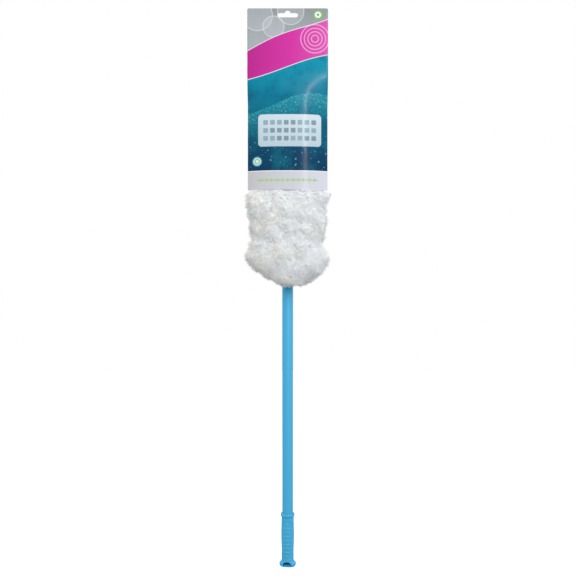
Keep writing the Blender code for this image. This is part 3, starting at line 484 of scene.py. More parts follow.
def make_back_print():
    """The back: a pale board with a dark head band and a block of plain tiles."""
    art = Print("card back print")
    art.colour = art.mix(art.noise(20.0, detail=3), ink(204, 208, 216), ink(220, 223, 230))
    level = art.swoop(-0.075, -0.20, 0.006, 0.24, 0.4)
    deep = art.ramp(art.span(art.z, -0.10, 0.0), (0.0, ink(0, 112, 144)), (1.0, ink(8, 66, 100)))
    art.paint(1.0 - art.under(level), deep)
    art.paint(art.line(level, 0.0022), ink(206, 46, 160))
    x, z = 0.0, -0.196
    art.paint(art.panel(x, z, 0.064, 0.078, 0.006), ink(190, 206, 214))
    tiles = art.panel(x, z, 0.05775, 0.07175, 0.0005) * art.tiles(0.0165, 0.0205, 0.0058, 0.0016, x, z)
    art.paint(tiles, ink(120, 156, 172), 0.75)
    art.paint(tiles * art.disc(x, z, 0.040, 0.002), ink(0, 120, 150), 0.7)
    return art.glossed()


def make_board(name, colour, roughness):
    board = Surface(name, colour, roughness)
    fibres = board.noise(420.0, detail=4, roughness=0.7, where=board.stretched(1.0, 1.0, 3.0))
    board.tint(fibres, scaled(colour, 0.90), scaled(colour, 1.06))
    board.bump(fibres, 0.25, 0.0001)
    return board.material


# Meshes

def mesh_from(name, bm):
    mesh = bpy.data.meshes.new(name)
    bm.to_mesh(mesh)
    bm.free()
    return linked(name, mesh)


def mesh_of(name, points, faces):
    """A smooth object of points and of four-sided faces, given as arrays."""
    mesh = bpy.data.meshes.new(name)
    points = np.asarray(points, np.float32).reshape(-1, 3)
    faces = np.asarray(faces, np.int32)
    mesh.vertices.add(len(points))
    mesh.vertices.foreach_set("co", points.ravel())
    mesh.loops.add(faces.size)
    mesh.loops.foreach_set("vertex_index", faces.ravel())
    mesh.polygons.add(len(faces))
    mesh.polygons.foreach_set("loop_start", np.arange(0, faces.size, 4, dtype=np.int32))
    mesh.update(calc_edges=True)
    mesh.shade_smooth()
    return linked(name, mesh)


def ring_faces(rows, columns, back_to_first=False):
    """Quads between closed rows of points, and from the last row to the first if asked."""
    steps = rows if back_to_first else rows - 1
    row, column = np.meshgrid(np.arange(steps), np.arange(columns), indexing="ij")
    after_row = (row + 1) % rows
    after_column = (column + 1) % columns
    corners = (row * columns + column, row * columns + after_column,
               after_row * columns + after_column, after_row * columns + column)
    return np.stack([corner.ravel() for corner in corners], axis=1)


def lofted(name, rings, closed=False):
    """A closed solid through rings of points, capped at its ends or led back to its first ring."""
    rings = np.asarray(rings, float)
    rows, columns = rings.shape[:2]
    item = mesh_of(name, rings, ring_faces(rows, columns, closed))
    bm = bmesh.new()
    bm.from_mesh(item.data)
    bm.verts.ensure_lookup_table()
    if not closed:
        for first in (0, (rows - 1) * columns):
            bm.faces.new([bm.verts[index] for index in range(first, first + columns)])
    bmesh.ops.recalc_face_normals(bm, faces=bm.faces)
    bm.to_mesh(item.data)
    bm.free()
    return item


def shade(item, degrees=40):
    item.data.shade_smooth()
    item.data.set_sharp_from_angle(angle=math.radians(degrees))
    return item


def drop(item):
    mesh = item.data
    bpy.data.objects.remove(item)
    bpy.data.meshes.remove(mesh)


def cut(item, tool):
    """Takes the tool's shape out of the item."""
    step = item.modifiers.new("step", "BOOLEAN")
    step.solver = "EXACT"
    step.object = tool
    bpy.context.view_layer.update()
    graph = bpy.context.evaluated_depsgraph_get()
    made = bpy.data.meshes.new_from_object(item.evaluated_get(graph))
    item.modifiers.clear()
    old = item.data
    item.data = made
    made.name = item.name
    bpy.data.meshes.remove(old)
    drop(tool)


def merged(name, items):
    """Several objects as one object."""
    bm = bmesh.new()
    for item in items:
        bm.from_mesh(item.data)
        drop(item)
    return mesh_from(name, bm)


def arc(centre, radius, start, end, steps):
    points = []
    for step in range(steps + 1):
        angle = math.radians(start + (end - start) * step / steps)
        points.append((centre[0] + radius * math.cos(angle), centre[1] + radius * math.sin(angle)))
    return points


def rounded_rectangle(width, height, radius, centre, steps=12):
    points = []
    for side, level, start in ((1, 1, 0), (-1, 1, 90), (-1, -1, 180), (1, -1, 270)):
        middle = (centre[0] + side * (width / 2 - radius), centre[1] + level * (height / 2 - radius))
        points += arc(middle, radius, start, start + 90, steps)
    return points


def squared(share, power):
    """The cosine or sine of an oval, which grows squarer with its power."""
    return np.sign(share) * np.abs(share) ** (2 / power)


def oval_ring(z, across, deep, power, columns, centre_y=0.0):
    """A level ring of points round an oval."""
    angle = np.linspace(0, 2 * math.pi, columns, endpoint=False)
    x = across * squared(np.cos(angle), power)
    return np.stack([x, centre_y + deep * squared(np.sin(angle), power), z + 0 * x], axis=1)


def beyond(across, up, half_x, half_z, radius):
    """How far places lie outside a rounded rectangle, from their places across and up from its middle."""
    over_x = np.maximum(np.abs(across) - (half_x - radius), 0)
    over_z = np.maximum(np.abs(up) - (half_z - radius), 0)
    return np.hypot(over_x, over_z) - radius


def placed(axis, outline, depth):
    """Puts (across, up) pairs at a depth along an axis."""
    if axis == "X":
        return [(depth, a, b) for a, b in outline]
    if axis == "Y":
        return [(a, depth, b) for a, b in outline]
    return [(a, b, depth) for a, b in outline]


def limits(node, axis):
    """The lowest and the highest place of a solid along an axis, numbered from 0 to 2."""
    return [corner[axis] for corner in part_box(node)]


def bent(start, corner, end, t):
    """Points along a curve that leaves its start towards a corner and ends coming from it."""
    return start * (1 - t) ** 2 + corner * 2 * t * (1 - t) + end * t ** 2


def unit(vectors):
    return vectors / np.maximum(np.linalg.norm(vectors, axis=-1, keepdims=True), 1e-12)


def inset(outline, amount):
    """An anticlockwise outline moved inwards by an amount, corner by corner."""
    points = np.asarray(outline, float)
    edges = (unit(points - np.roll(points, 1, axis=0)), unit(np.roll(points, -1, axis=0) - points))
    normals = [np.stack([-edge[:, 1], edge[:, 0]], axis=1) for edge in edges]
    inward = unit(normals[0] + normals[1])
    reach = np.clip(1 / np.maximum((inward * normals[0]).sum(axis=1), 0.5), 1, 2)
    return points + inward * (amount * reach)[:, None]


def soft_slab(name, axis, outline, low, high, rounding, steps=3):
    """A slab whose outer edges are rounded at both faces."""
    rings = []
    for step in range(steps, -1, -1):
        angle = math.pi / 2 * step / steps
        rings.append((low + rounding * (1 - math.sin(angle)), rounding * (1 - math.cos(angle))))
    rings += [(low + high - depth, amount) for depth, amount in rings[::-1]]
    return shade(lofted(name, [placed(axis, inset(outline, amount), depth) for depth, amount in rings]), 50)


def turned(name, axis, centre, stations, sides=64, closed=False):
    """A solid of revolution from (radius, depth) stations."""
    rings = [placed(axis, arc(centre, radius, 0, 360, sides)[:-1], depth) for radius, depth in stations]
    return shade(lofted(name, rings, closed))


def rounded_stations(stations, rounding, steps=3):
    """Rounds the corners of a line of (radius, depth) stations."""
    line = [Vector(station) for station in stations]
    out = [stations[0]]
    for before, corner, after in zip(line, line[1:], line[2:]):
        reach = min(rounding, (before - corner).length / 2.2, (after - corner).length / 2.2)
        start = corner + (before - corner).normalized() * reach
        end = corner + (after - corner).normalized() * reach
        for step in range(steps + 1):
            out.append(tuple(bent(start, corner, end, step / steps)))
    return out + [stations[-1]]


def dressed(item, body, replaced, material=None):
    """Gives a piece its material and its body, and hides the solid that it stands for."""
    if material is not None:
        item.data.materials.clear()
        item.data.materials.append(material)
    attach(item, body)
    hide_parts(replaced)


# Card sleeve

def smoothstep(value):
    value = np.clip(value, 0.0, 1.0)
    return value * value * (3 - 2 * value)


def bulge_at(z):
    return BULGE * smoothstep((HEADER_END_Z - z) / BULGE_RUN)


def sleeve_half(z):
    """Half the sleeve's width, which narrows as its walls bulge."""
    return CARD_HALF - 4 * bulge_at(z) ** 2 / (3 * 2 * CARD_HALF)


def wall_ring(z, half, edge, fold_steps, strips=56):
    """A level of the sleeve, or of its hollow, with a rounded fold on each side where asked."""
    shares = np.linspace(-1, 1, strips + 1)
    bulge = bulge_at(z)
    flat = half - edge if fold_steps else half
    outline = [(flat * s, -edge - bulge * (1 - abs(s) ** FRONT_FULLNESS)) for s in shares]
    if fold_steps:
        outline += arc((flat, 0), edge, -90, 90, fold_steps)[1:-1]
    outline += [(flat * s, edge + bulge * (1 - abs(s) ** BACK_FULLNESS)) for s in shares[::-1]]
    if fold_steps:
        outline += arc((-flat, 0), edge, 90, 270, fold_steps)[1:-1]
    return placed("Z", outline, z)


def slot_outline(steps=12):
    band_end = SLOT_BAND / 2
    middle = -SLOT_BUMP_RISE - band_end
    reach = SLOT_WIDTH / 2 - band_end
    angle = math.degrees(math.asin((SLOT_BUMP_RADIUS - SLOT_BUMP_RISE) / SLOT_BUMP_RADIUS))
    points = arc((reach, middle), band_end, -90, 90, steps)
    points += arc((0, -SLOT_BUMP_RADIUS), SLOT_BUMP_RADIUS, angle, 180 - angle, steps)
    return points + arc((-reach, middle), band_end, 90, 270, steps)


def make_card():
    bulge_end = HEADER_END_Z - BULGE_RUN
    levels = np.concatenate([
        np.linspace(-0.012, HEADER_END_Z, 8)[:-1], np.linspace(HEADER_END_Z, bulge_end, 34)[:-1],
        np.linspace(bulge_end, LIP_Z, 16)])
    rings = []
    for _, up in arc((0, 0), CARD_CORNER, 90, 0, 10):
        taken = CARD_CORNER - math.sqrt(max(CARD_CORNER ** 2 - up ** 2, 0))
        z = CARD_TOP_Z - CARD_CORNER + up
        rings.append(wall_ring(z, sleeve_half(z) - taken, CARD_EDGE, 4))
    rings += [wall_ring(z, sleeve_half(z), CARD_EDGE, 4) for z in levels]
    card = lofted("printed_sleeve", rings)
    finishes = (make_front_print(), make_back_print(), make_board("bare board", srgb(206, 203, 196), 0.85),
                make_board("board core", srgb(226, 225, 221), 0.8))
    FRONT, BACK, BARE, CORE = range(4)

    def finish(item, choose):
        for material in finishes:
            item.data.materials.append(material)
        for face in item.data.polygons:
            face.material_index = choose(face)

    def outside(face):
        if abs(face.normal.z) > 0.8:
            return CORE
        return FRONT if face.center.y < 0.0002 else BACK

    finish(card, outside)
    hollow_levels = [*levels[levels <= HEADER_END_Z], LIP_Z - 0.002]
    hollow = [wall_ring(z, sleeve_half(z) - FOLD_MARGIN, GLUE / 2, 0) for z in hollow_levels]
    notch = rounded_rectangle(0.064, 0.054, 0.008, (0, FOLD_Z))
    for name, rings, surface in (
        ("hollow", hollow, BARE),
        ("slot", [placed("Y", slot_outline(), y) for y in (-0.01, 0.01)], CORE),
        ("notch", [placed("Y", notch, y) for y in (BULGE / 2, BULGE + 0.003)], CORE),
    ):
        tool = lofted(name, rings)
        finish(tool, lambda face: surface)
        cut(card, tool)
    dressed(shade(card, 45), "sleeve", "card_sleeve")


# Pile

def grown(size, amount):
    """A (width, height, corner radius) size, grown all round."""
    width, height, corner = size
    return width + 2 * amount, height + 2 * amount, corner + amount


def waves(points, wavelength, seed, count=22):
    """A smooth random field of about unit size, with features of a given wavelength."""
    rng = np.random.RandomState(seed)
    total = np.zeros(len(points))
    for _ in range(count):
        direction = rng.normal(size=3)
        direction *= (2 * math.pi / wavelength) * rng.uniform(0.6, 1.4) / np.linalg.norm(direction)
        total += np.cos(points @ direction + rng.uniform(0, 2 * math.pi))
    return total / math.sqrt(count / 2)


def pile_sizes(z):
    """Left, right, front depth, back rim and how far the section has opened, at levels of the pile."""
    start = LIP_Z - 0.003
    down = np.clip((start - z) / (start - HEAD_END_Z), 0, 1)
    left, right, full = (np.interp(down, PILE_SHARES[:, 0], PILE_SHARES[:, k]) for k in (1, 2, 3))
    run = np.clip((HEAD_TOP_Z - z) / PRESSED_TOP_RUN, 0, 1)
    half = PRESSED_TOP_HALF + (PRESSED_HALF - PRESSED_TOP_HALF) * np.sqrt(1 - (1 - run) ** 2)
    pressed = np.maximum(bulge_at(z) - 0.0006, 0.0004)
    opened = smoothstep((OPENING_Z - z) / 0.0045)
    widened = smoothstep((OPENING_Z - z) / 0.0030)
    return (half + (PILE_HALF * left - half) * widened, half + (PILE_HALF * right - half) * widened,
            pressed + (PILE_DEPTH * full - pressed) * opened,
            PRESSED_RIM + (PILE_RIM * np.minimum(full, 1) - PRESSED_RIM) * opened, opened)


def pile_grid(columns, levels, shrink):
    """Points round the pile's outside, or round a smaller form inside it, with outward normals."""
    z, angle = np.meshgrid(levels, np.linspace(0, 2 * math.pi, columns, endpoint=False), indexing="ij")
    left, right, depth, rim, opened = pile_sizes(z)
    half = np.maximum((right + left) / 2 - shrink * (0.5 + 0.5 * opened), 0.0006)
    front = np.maximum(depth - shrink * (0.45 + 0.55 * opened), 0.0004)
    back = np.maximum(rim - shrink * 0.35, 0.0004)
    power = FRONT_FULLNESS + (2 - FRONT_FULLNESS) * opened
    x = (right - left) / 2 + half * squared(np.cos(angle), power)
    y = np.where(np.sin(angle) > 0, back, front) * squared(np.sin(angle), 1 + opened)
    low = smoothstep((LIP_Z - END_DROP - z) / END_RUN)
    grid = np.stack([x, y, z - END_LEAN * low * x], axis=-1)
    around = np.roll(grid, -1, axis=1) - np.roll(grid, 1, axis=1)
    return grid, unit(np.cross(np.gradient(grid, axis=0), around))


def lumps(points, opened):
    """How far the clumps of the pile stand out or sink, in metres: all at the front, and less behind."""
    size = sum(height * waves(points, wavelength, seed) for height, wavelength, seed in CLUMPS)
    share = 0.3 + 0.7 * smoothstep((0.0040 - points[:, 1]) / 0.0045)
    return size * (0.12 + 0.88 * opened) * share


def outside_pad(places, margin):
    """True where a place is outside the pad's outline grown by a margin, seen from the back."""
    width, height, corner = grown(PAD, margin)
    return beyond(places[..., 0], places[..., 2] - HEAD_CENTRE_Z, width / 2, height / 2, corner) > 0


def make_pile_core(material):
    """The lumpy body of the pile under its tufts, with the pocket for the padded plate behind it."""
    levels = np.concatenate([np.linspace(HEAD_TOP_Z - 0.0015, OPENING_Z, 70, endpoint=False),
                             np.linspace(OPENING_Z, HEAD_END_Z + 0.0064, 110)])
    grid, normal = pile_grid(180, levels, 0.0034)
    places = grid.reshape(-1, 3)
    push = lumps(places, pile_sizes(places[:, 2])[4])
    places = places + normal.reshape(-1, 3) * push[:, None]
    ceiling = np.where(outside_pad(places, BINDING + 2 * SEAM + 0.0022), 0.0052, -0.0016)
    places[:, 1] = np.minimum(places[:, 1], ceiling)
    core = shade(lofted("pile_body", places.reshape(grid.shape)), 60)
    dressed(core, "head", "cover_pile", material)


def roots_on_pile(count, low_z, high_z, seed, shrink, front_y):
    """Random places spread evenly over the pile's outside, their outward normals, and the random numbers
    to go on with. Behind the depth front_y, places over the pad are left out."""
    rng = np.random.RandomState(seed)
    grid, normal = pile_grid(240, np.linspace(high_z, low_z, 200), shrink)
    across = np.linalg.norm(np.roll(grid, -1, axis=1) - grid, axis=2)[:-1]
    down = np.linalg.norm(grid[1:] - grid[:-1], axis=2)
    area = (across * down).ravel()
    picked = rng.choice(len(area), size=count, p=area / area.sum())
    row, column = np.unravel_index(picked, across.shape)
    t, s = rng.uniform(size=(2, count, 1))
    after = (column + 1) % grid.shape[1]

    def between(field):
        upper, lower = (field[level, column] * (1 - s) + field[level, after] * s for level in (row, row + 1))
        return upper * (1 - t) + lower * t

    places, outward = between(grid), unit(between(normal))
    keep = (places[:, 1] < front_y) | outside_pad(places, BINDING + 0.0024)
    return places[keep], outward[keep], rng


def strand_mesh(name, curves, radii, outward=None):
    """Three-sided tapering strands along curves, (strands, stations, 3). Where outward directions are
    given, each strand takes part of its shading from them, as soft fibres do."""
    count, stations = curves.shape[:2]
    heading = unit(curves[:, -1] - curves[:, 0])
    side = unit(np.cross(heading, np.where(np.abs(heading[:, 2:]) < 0.8, (0.0, 0.0, 1.0), (1.0, 0.0, 0.0))))
    other = np.cross(heading, side)
    turns = [2 * math.pi * index / 3 for index in range(3)]
    corners = np.stack([math.cos(turn) * side + math.sin(turn) * other for turn in turns], axis=1)
    offsets = corners[:, None] * radii[..., None, None]
    faces = ring_faces(stations, 3)[None] + (np.arange(count) * stations * 3)[:, None, None]
    item = mesh_of(name, curves[:, :, None] + offsets, faces.reshape(-1, 4))
    if outward is not None:
        normals = unit(unit(offsets) + SOFTNESS * outward[:, None, None])
        item.data.normals_split_custom_set_from_vertices(normals.reshape(-1, 3).tolist())
    return item


def clear_of_card(curves):
    """Keeps tufts off the card. Those in front of it or beside it may rise a little past its lip."""
    x, y, z = np.moveaxis(curves, -1, 0)
    top = LIP_Z - 0.0012
    high = z - top
    across = np.clip(np.abs(x) / CARD_HALF, 0, 1)
    card_front = -CARD_EDGE - BULGE * (1 - across ** FRONT_FULLNESS)
    over_lip = 0.0006 + 0.0026 * smoothstep((x + 0.010) / 0.060)
    clear = (high < 0) | ((y < card_front - 0.0012) & (high < over_lip))
    clear |= (np.abs(x) > CARD_HALF + 0.0008) & (high < 0.0030)
    held = ~clear.all(axis=1)[:, None] & (high > 0)
    z[:] = np.where(held, top - 0.2 * high, z)
    y[:] = np.minimum(y, 0.0072)


def free_tufts(count, seed, finishes):
    """Curly tufts on the free pile, drawn together in clumps, in a piece for each finish."""
    places, outward, rng = roots_on_pile(
        count, low_z=HEAD_END_Z + 0.0072, high_z=LIP_Z - 0.0015, seed=seed, shrink=0.0040, front_y=0.0005)
    count = len(places)
    places = places + outward * lumps(places, 1.0)[:, None]
    sway, swing, *curl = [waves(places, wavelength, seed + 21 + step)
                          for step, wavelength in enumerate((0.034, 0.034, 0.011, 0.011, 0.011))]
    combed = smoothstep((LIP_Z - 0.012 - places[:, 2:]) / 0.050)
    heading = (outward * 0.60 + np.stack([sway, 0 * sway, swing], axis=1) * 0.26
               + np.stack(curl, axis=1) * (0.16 + 0.16 * combed) + np.array([0, 0, -0.12]))
    heading = unit(heading + rng.normal(size=(count, 3)) * (0.32 + 0.16 * combed))
    heading -= outward * np.minimum((heading * outward).sum(axis=1) - 0.25, 0)[:, None]
    above_end = smoothstep((places[:, 2:] - HEAD_END_Z - 0.004) / 0.026)
    length = rng.uniform(0.0045, 0.0085, (count, 1)) * (0.80 + 0.20 * above_end)
    tips = places + heading * length + outward * 0.001

    # the tips of each clump are drawn towards their middle
    centres = places[rng.choice(count, size=count // 8, replace=False)]
    tree = kdtree.KDTree(len(centres))
    for index, centre in enumerate(centres):
        tree.insert(centre, index)
    tree.balance()
    group = np.array([tree.find(place)[1] for place in places])
    number = np.maximum(np.bincount(group, minlength=len(centres)), 1)
    pulled = np.stack([np.bincount(group, tips[:, k], len(centres)) / number for k in range(3)], axis=1)
    pulled += unit(pulled - centres) * rng.uniform(0.0, 0.0018, (len(centres), 1))
    gather = rng.uniform(0.06, 0.40, (count, 1))
    tips = tips * (1 - gather) + (pulled[group] + rng.normal(size=(count, 3)) * 0.0010) * gather

    # each tuft bends outwards and winds as it goes
    curves = bent(places[:, None], (places + outward * (length * 0.55))[:, None], tips[:, None], ALONG)
    phase, turns, size = [rng.uniform(low, high, (count, 1, 1))
                          for low, high in ((0, 2 * math.pi), (0.8, 1.7), (0.0005, 0.0013))]
    first = unit(np.cross(outward, rng.normal(size=(count, 3))))
    second = np.cross(outward, first)
    angle = phase + 2 * math.pi * turns * ALONG
    curves = curves + size * ALONG * (np.cos(angle) * first[:, None] + np.sin(angle) * second[:, None])
    clear_of_card(curves)
    radii = rng.uniform(0.00028, 0.00042, (count, 1)) * np.array([1.0, 1.0, 0.85, 0.6, 0.16])
    # the tints go to tufts by random waves and by side: warm gathers at the left and cool at the right,
    # partly random tone, partly a painted tint of shade at the left and of light at the right
    order = np.argsort(0.7 * waves(places, 0.05, seed + 40) - 14 * places[:, 0] + rng.normal(size=count))
    for (name, material), part in zip(finishes, np.array_split(order, len(finishes))):
        tufts = strand_mesh(name, curves[part], radii[part], outward[part])
        dressed(tufts, "head", "cover_pile", material)


def inside_sleeve(curves, margin):
    """Keeps curves inside the sleeve's hollow, less a margin."""
    x, y, z = np.moveaxis(curves, -1, 0)
    half = sleeve_half(z) - FOLD_MARGIN
    reach = half - margin - 0.0006
    x[:] = np.clip(x, -reach, reach)
    share = np.clip(np.abs(x) / half, 0, 1)
    front, back = (np.maximum(bulge_at(z) * (1 - share ** fullness) - margin, 0.0002)
                   for fullness in (FRONT_FULLNESS, BACK_FULLNESS))
    y[:] = np.clip(y, -front, back)


def pressed_tufts(name, count, seed, material):
    """Tufts that the sleeve combs flat. They lie along the pile, and stay inside the sleeve."""
    places, outward, rng = roots_on_pile(
        count, low_z=LIP_Z + 0.004, high_z=HEAD_TOP_Z - 0.004, seed=seed, shrink=0.0042, front_y=0.0)
    count = len(places)
    sway = waves(places, 0.03, seed + 1) * 0.5
    flow = np.stack([sway, 0 * sway, -1 + 0.6 * waves(places, 0.04, seed + 2)], axis=1)
    flow += rng.normal(size=(count, 3)) * 0.35
    flow = unit(flow - outward * (flow * outward).sum(axis=1)[:, None])
    length = rng.uniform(0.007, 0.012, (count, 1))
    tips = places + flow * length + outward * 0.0016
    bend = places + flow * length * 0.35 + outward * 0.0026
    curves = bent(places[:, None], bend[:, None], tips[:, None], ALONG)
    wiggle = np.sin(2 * math.pi * (ALONG * rng.uniform(0.6, 1.4, (count, 1, 1))))
    wiggle = np.cross(flow, outward)[:, None] * wiggle
    curves = curves + wiggle * 0.0009 * rng.uniform(0.3, 1, (count, 1, 1))
    ceiling = np.where(outside_pad(curves, BINDING + 0.0016), 0.0040, -0.0022)
    curves[..., 1] = np.minimum(curves[..., 1], ceiling)
    curves[..., 2] = np.clip(curves[..., 2], LIP_Z + 0.0014, HEAD_TOP_Z - 0.0008)
    inside_sleeve(curves, 0.0009)
    radii = rng.uniform(0.00034, 0.00048, (count, 1)) * np.array([1.0, 1.0, 0.85, 0.6, 0.2])
    dressed(strand_mesh(name, curves, radii, outward), "head", "cover_pile", material)


def fluff(name, colour, deep, pressed=None):
    """Microfibre pile: soft, a little uneven in tone, with a faint sheen, and greyer where it is pressed:
    partly matted fibres, partly painted shade.
    """
    surface = Surface(name, srgb(*colour), 0.92)
    slow = surface.noise(38.0, detail=3, roughness=0.6)
    tone = surface.mix(surface.span(slow, 0.32, 0.68), srgb(*deep), srgb(*colour))
    if pressed:
        # greyer above the card's lip, inside the sleeve: partly matted fibres, partly painted shade
        tone = surface.mix(surface.step(surface.axes()[2], LIP_Z, 0.004), tone, srgb(*pressed))
    surface.set("Base Color", tone)
    surface.sheen(0.30, 0.5, 0.25)
    return surface


def make_pile():
    # the body's third colour is its greyer tone inside the sleeve: partly matted fibres, partly painted shade
    body = fluff("pile body", (243, 246, 247), (236, 239, 241), (212, 215, 218))
    body.bump(body.noise(700.0, detail=4, roughness=0.7) * 0.6 + body.cells(190.0)[0], 0.8, 0.0016)
    make_pile_core(body.material)
    # cool, plain and warm tints, shared out by free_tufts partly at random and partly as a painted tint of
    # light and shade by side
    cool = fluff("pile tufts cool", (247, 249, 254), (240, 243, 249)).material
    plain = fluff("pile tufts plain", (249, 252, 253), (242, 246, 248)).material
    warm = fluff("pile tufts warm", (249, 248, 242), (240, 239, 232)).material
    finishes = (("pile_tufts_cool", cool), ("pile_tufts_bright", plain), ("pile_tufts_plain", plain),
                ("pile_tufts_warm", warm))
    free_tufts(30000, 5, finishes)
    # the pressed tufts are greyer than the free ones: partly matted fibres, partly painted shade like that of
    # the self-shaded free pile
    matted_and_shaded = fluff("pile tufts matted", (230, 232, 235), (216, 219, 222)).material
    pressed_tufts("pile_tufts_pressed", 6200, 71, matted_and_shaded)


# Cloths and binding

def pad_line(size, steps):
    """The outline of a size of pad or window, round the middle of the head."""
    return rounded_rectangle(*size, (0, HEAD_CENTRE_Z), steps)


def area_of(width, height, corner):
    return width * height - (4 - math.pi) * corner ** 2


def even_line(outline, spacing):
    """Points at an even spacing round a closed outline, with their directions along it and inwards."""
    points = np.asarray(outline + outline[:1], float)
    lengths = np.concatenate([[0], np.cumsum(np.linalg.norm(np.diff(points, axis=0), axis=1))])
    at = np.linspace(0, lengths[-1], int(round(lengths[-1] / spacing)), endpoint=False)
    line = np.stack([np.interp(at, lengths, points[:, k]) for k in range(2)], axis=1)
    tangent = unit(np.roll(line, -1, axis=0) - np.roll(line, 1, axis=0))
    return line, tangent, np.stack([-tangent[:, 1], tangent[:, 0]], axis=1)


def at_depth(line, depth):
    """Points from (across, up) places and a depth, or a depth for each."""
    return np.stack([line[..., 0], depth + 0 * line[..., 0], line[..., 1]], axis=-1)


def cloth(name, node, material, pucker, window=None):
    """A sewn panel of cloth: rings of points from its rim inwards, thin, with puckers along the seam."""
    low, high = limits(node, 1)
    size = grown(PAD, -CLOTH_EDGE)
    rim = even_line(pad_line(size, 20), 0.0026)[0]
    area = area_of(*size)
    if window:
        hole = even_line(pad_line(window, 10), 0.001)[0]
        area -= area_of(*window)
        around_rim, around_hole = (np.arctan2(line[:, 1] - HEAD_CENTRE_Z, line[:, 0]) for line in (rim, hole))
        inner = [np.interp(around_rim, around_hole, hole[:, k], period=2 * math.pi) for k in range(2)]
    else:
        inner = [0.02 * rim[:, 0], HEAD_CENTRE_Z + 0.5 * (rim[:, 1] - HEAD_CENTRE_Z)]
    inner = np.stack(inner, axis=1)
    front, back = [], []
    for step in np.linspace(0, 1, 44) ** 0.9:
        line = rim * (1 - step) + inner * step
        points = at_depth(line, 0)
        distance = step * np.linalg.norm(inner - rim, axis=1)
        ripple = pucker * np.exp(-distance / 0.006) * waves(points, 0.008, 301)
        sag = pucker * 0.6 * waves(points, 0.05, 302) * min(1, 6 * step * (1 - step))
        lift = np.clip(ripple + sag, -pucker, pucker)
        back.append(at_depth(line, high - pucker + lift))
        front.append(at_depth(line, low + pucker + lift))
    item = shade(lofted(name, back + front[::-1], closed=True), 60)
    dressed(item, "head", node, material)


def stitches(name, outline, y):
    """Short rounded threads in a row along an outline, on a face that looks backwards."""
    spacing, length, radius = 0.0030, 0.0023, 0.00022
    line, tangent, _ = even_line(outline, spacing)
    spots = line[:, None] + tangent[:, None] * np.linspace(-0.5, 0.5, 5)[:, None] * length
    curves = at_depth(spots, y + np.array([-0.6, 0.55, 0.9, 0.55, -0.6]) * radius)
    radii = radius * np.array([0.7, 1.0, 1.0, 1.0, 0.7])[None].repeat(len(line), axis=0)
    return strand_mesh(name, curves, radii)


def make_binding(tape, thread):
    """Tape folded round the edges of both cloths, with its seam."""
    low, high = limits("edge_binding", 1)
    middle, half = (low + high) / 2, (high - low) / 2
    line, _, inward = even_line(pad_line(grown(PAD, SEAM + BINDING), 26), 0.0016)
    reach = BINDING * 0.62
    fold = [(reach * (1 + a), half * b) for a, b in arc((0, 0), 1, 90, 270, 10)]
    wave = 0.00010 * waves(at_depth(line, 0), 0.006, 410)
    rows = []
    for across, up in [(BINDING, half), *fold, (BINDING, -half)]:
        spot = line + inward * (across + np.abs(wave))[:, None]
        rows.append(at_depth(spot, np.clip(middle + up + wave, low, high)))
    binding = shade(lofted("cover_binding", rows, closed=True), 60)
    seam = stitches("binding_seam", pad_line(grown(PAD, SEAM + 0.0013), 26), high - 0.00005)
    dressed(binding, "head", "edge_binding", tape)
    dressed(seam, "head", "edge_binding", thread)


def weave(name, colour, gap, scale):
    """Plain woven or knitted cloth."""
    woven = Surface(name, srgb(*colour), 0.88)
    threads = woven.math("MAXIMUM", woven.bands(scale, "X"), woven.bands(scale, "Z"))
    uneven = woven.noise(120.0, detail=3)
    woven.tint(woven.span(threads * 0.5 + uneven, 0.45, 1.0), srgb(*gap), srgb(*colour))
    woven.sheen(0.3, 0.4, 0.2)
    woven.bump(threads + uneven * 0.5, 0.6, 0.0002)
    return woven.material


def make_cloths():
    lilac = weave("lilac panel", (206, 206, 222), (184, 184, 204), 190.0)
    white = weave("white ground cloth", (222, 223, 226), (204, 206, 210), 240.0)
    tape = weave("white tape", (226, 226, 230), (204, 204, 210), 300.0)
    thread = Surface("white thread", srgb(230, 230, 232), 0.7)
    twist = thread.bands(900.0, "DIAGONAL")
    thread.tint(twist, srgb(232, 232, 234), srgb(206, 206, 212))
    thread.bump(twist, 0.5, 0.0001)
    cloth("back_panel", "back_cloth", lilac, 0.00025, WINDOW)
    hem_line = pad_line(grown(WINDOW, 0.0032), 10)
    hem = stitches("window_seam", hem_line, limits("back_cloth", 1)[1] - 0.00022)
    dressed(hem, "head", "back_cloth", thread.material)
    cloth("ground_cloth", "front_cloth", white, 0.0002)
    make_binding(tape, thread.material)


# Plastic, paint and steel

def moulded(name, colour, roughness, grain=1.0):
    """Moulded plastic: slight tone changes, fine spark texture and faint handling marks."""
    plastic = Surface(name, colour, roughness)
    plastic.tint(plastic.noise(45.0, detail=3), scaled(colour, 0.93), scaled(colour, 1.05))
    marks = plastic.noise(160.0, detail=5, roughness=0.7, where=plastic.stretched(1.0, 1.0, 0.25))
    plastic.set("Roughness", plastic.span(marks, 0.35, 0.70, roughness - 0.05, roughness + 0.10))
    plastic.set("Specular IOR Level", 0.35)
    plastic.bump(plastic.noise(2600.0), 0.20 * grain, 0.0001)
    return plastic.material


def painted(name, colour):
    """Satin paint on a drawn tube: faint long draw lines and a few dull rubs."""
    paint = Surface(name, colour, 0.38)
    lines = paint.noise(220.0, detail=3, where=paint.stretched(1.0, 1.0, 0.012))
    rubs = paint.noise(55.0, detail=5, roughness=0.7, where=paint.stretched(1.0, 1.0, 0.4))
    paint.tint(lines, scaled(colour, 0.95), scaled(colour, 1.04))
    paint.set("Roughness", paint.span(rubs, 0.40, 0.75, 0.34, 0.52))
    paint.set("Specular IOR Level", 0.35)
    paint.bump(lines, 0.10, 0.0001)
    return paint.material


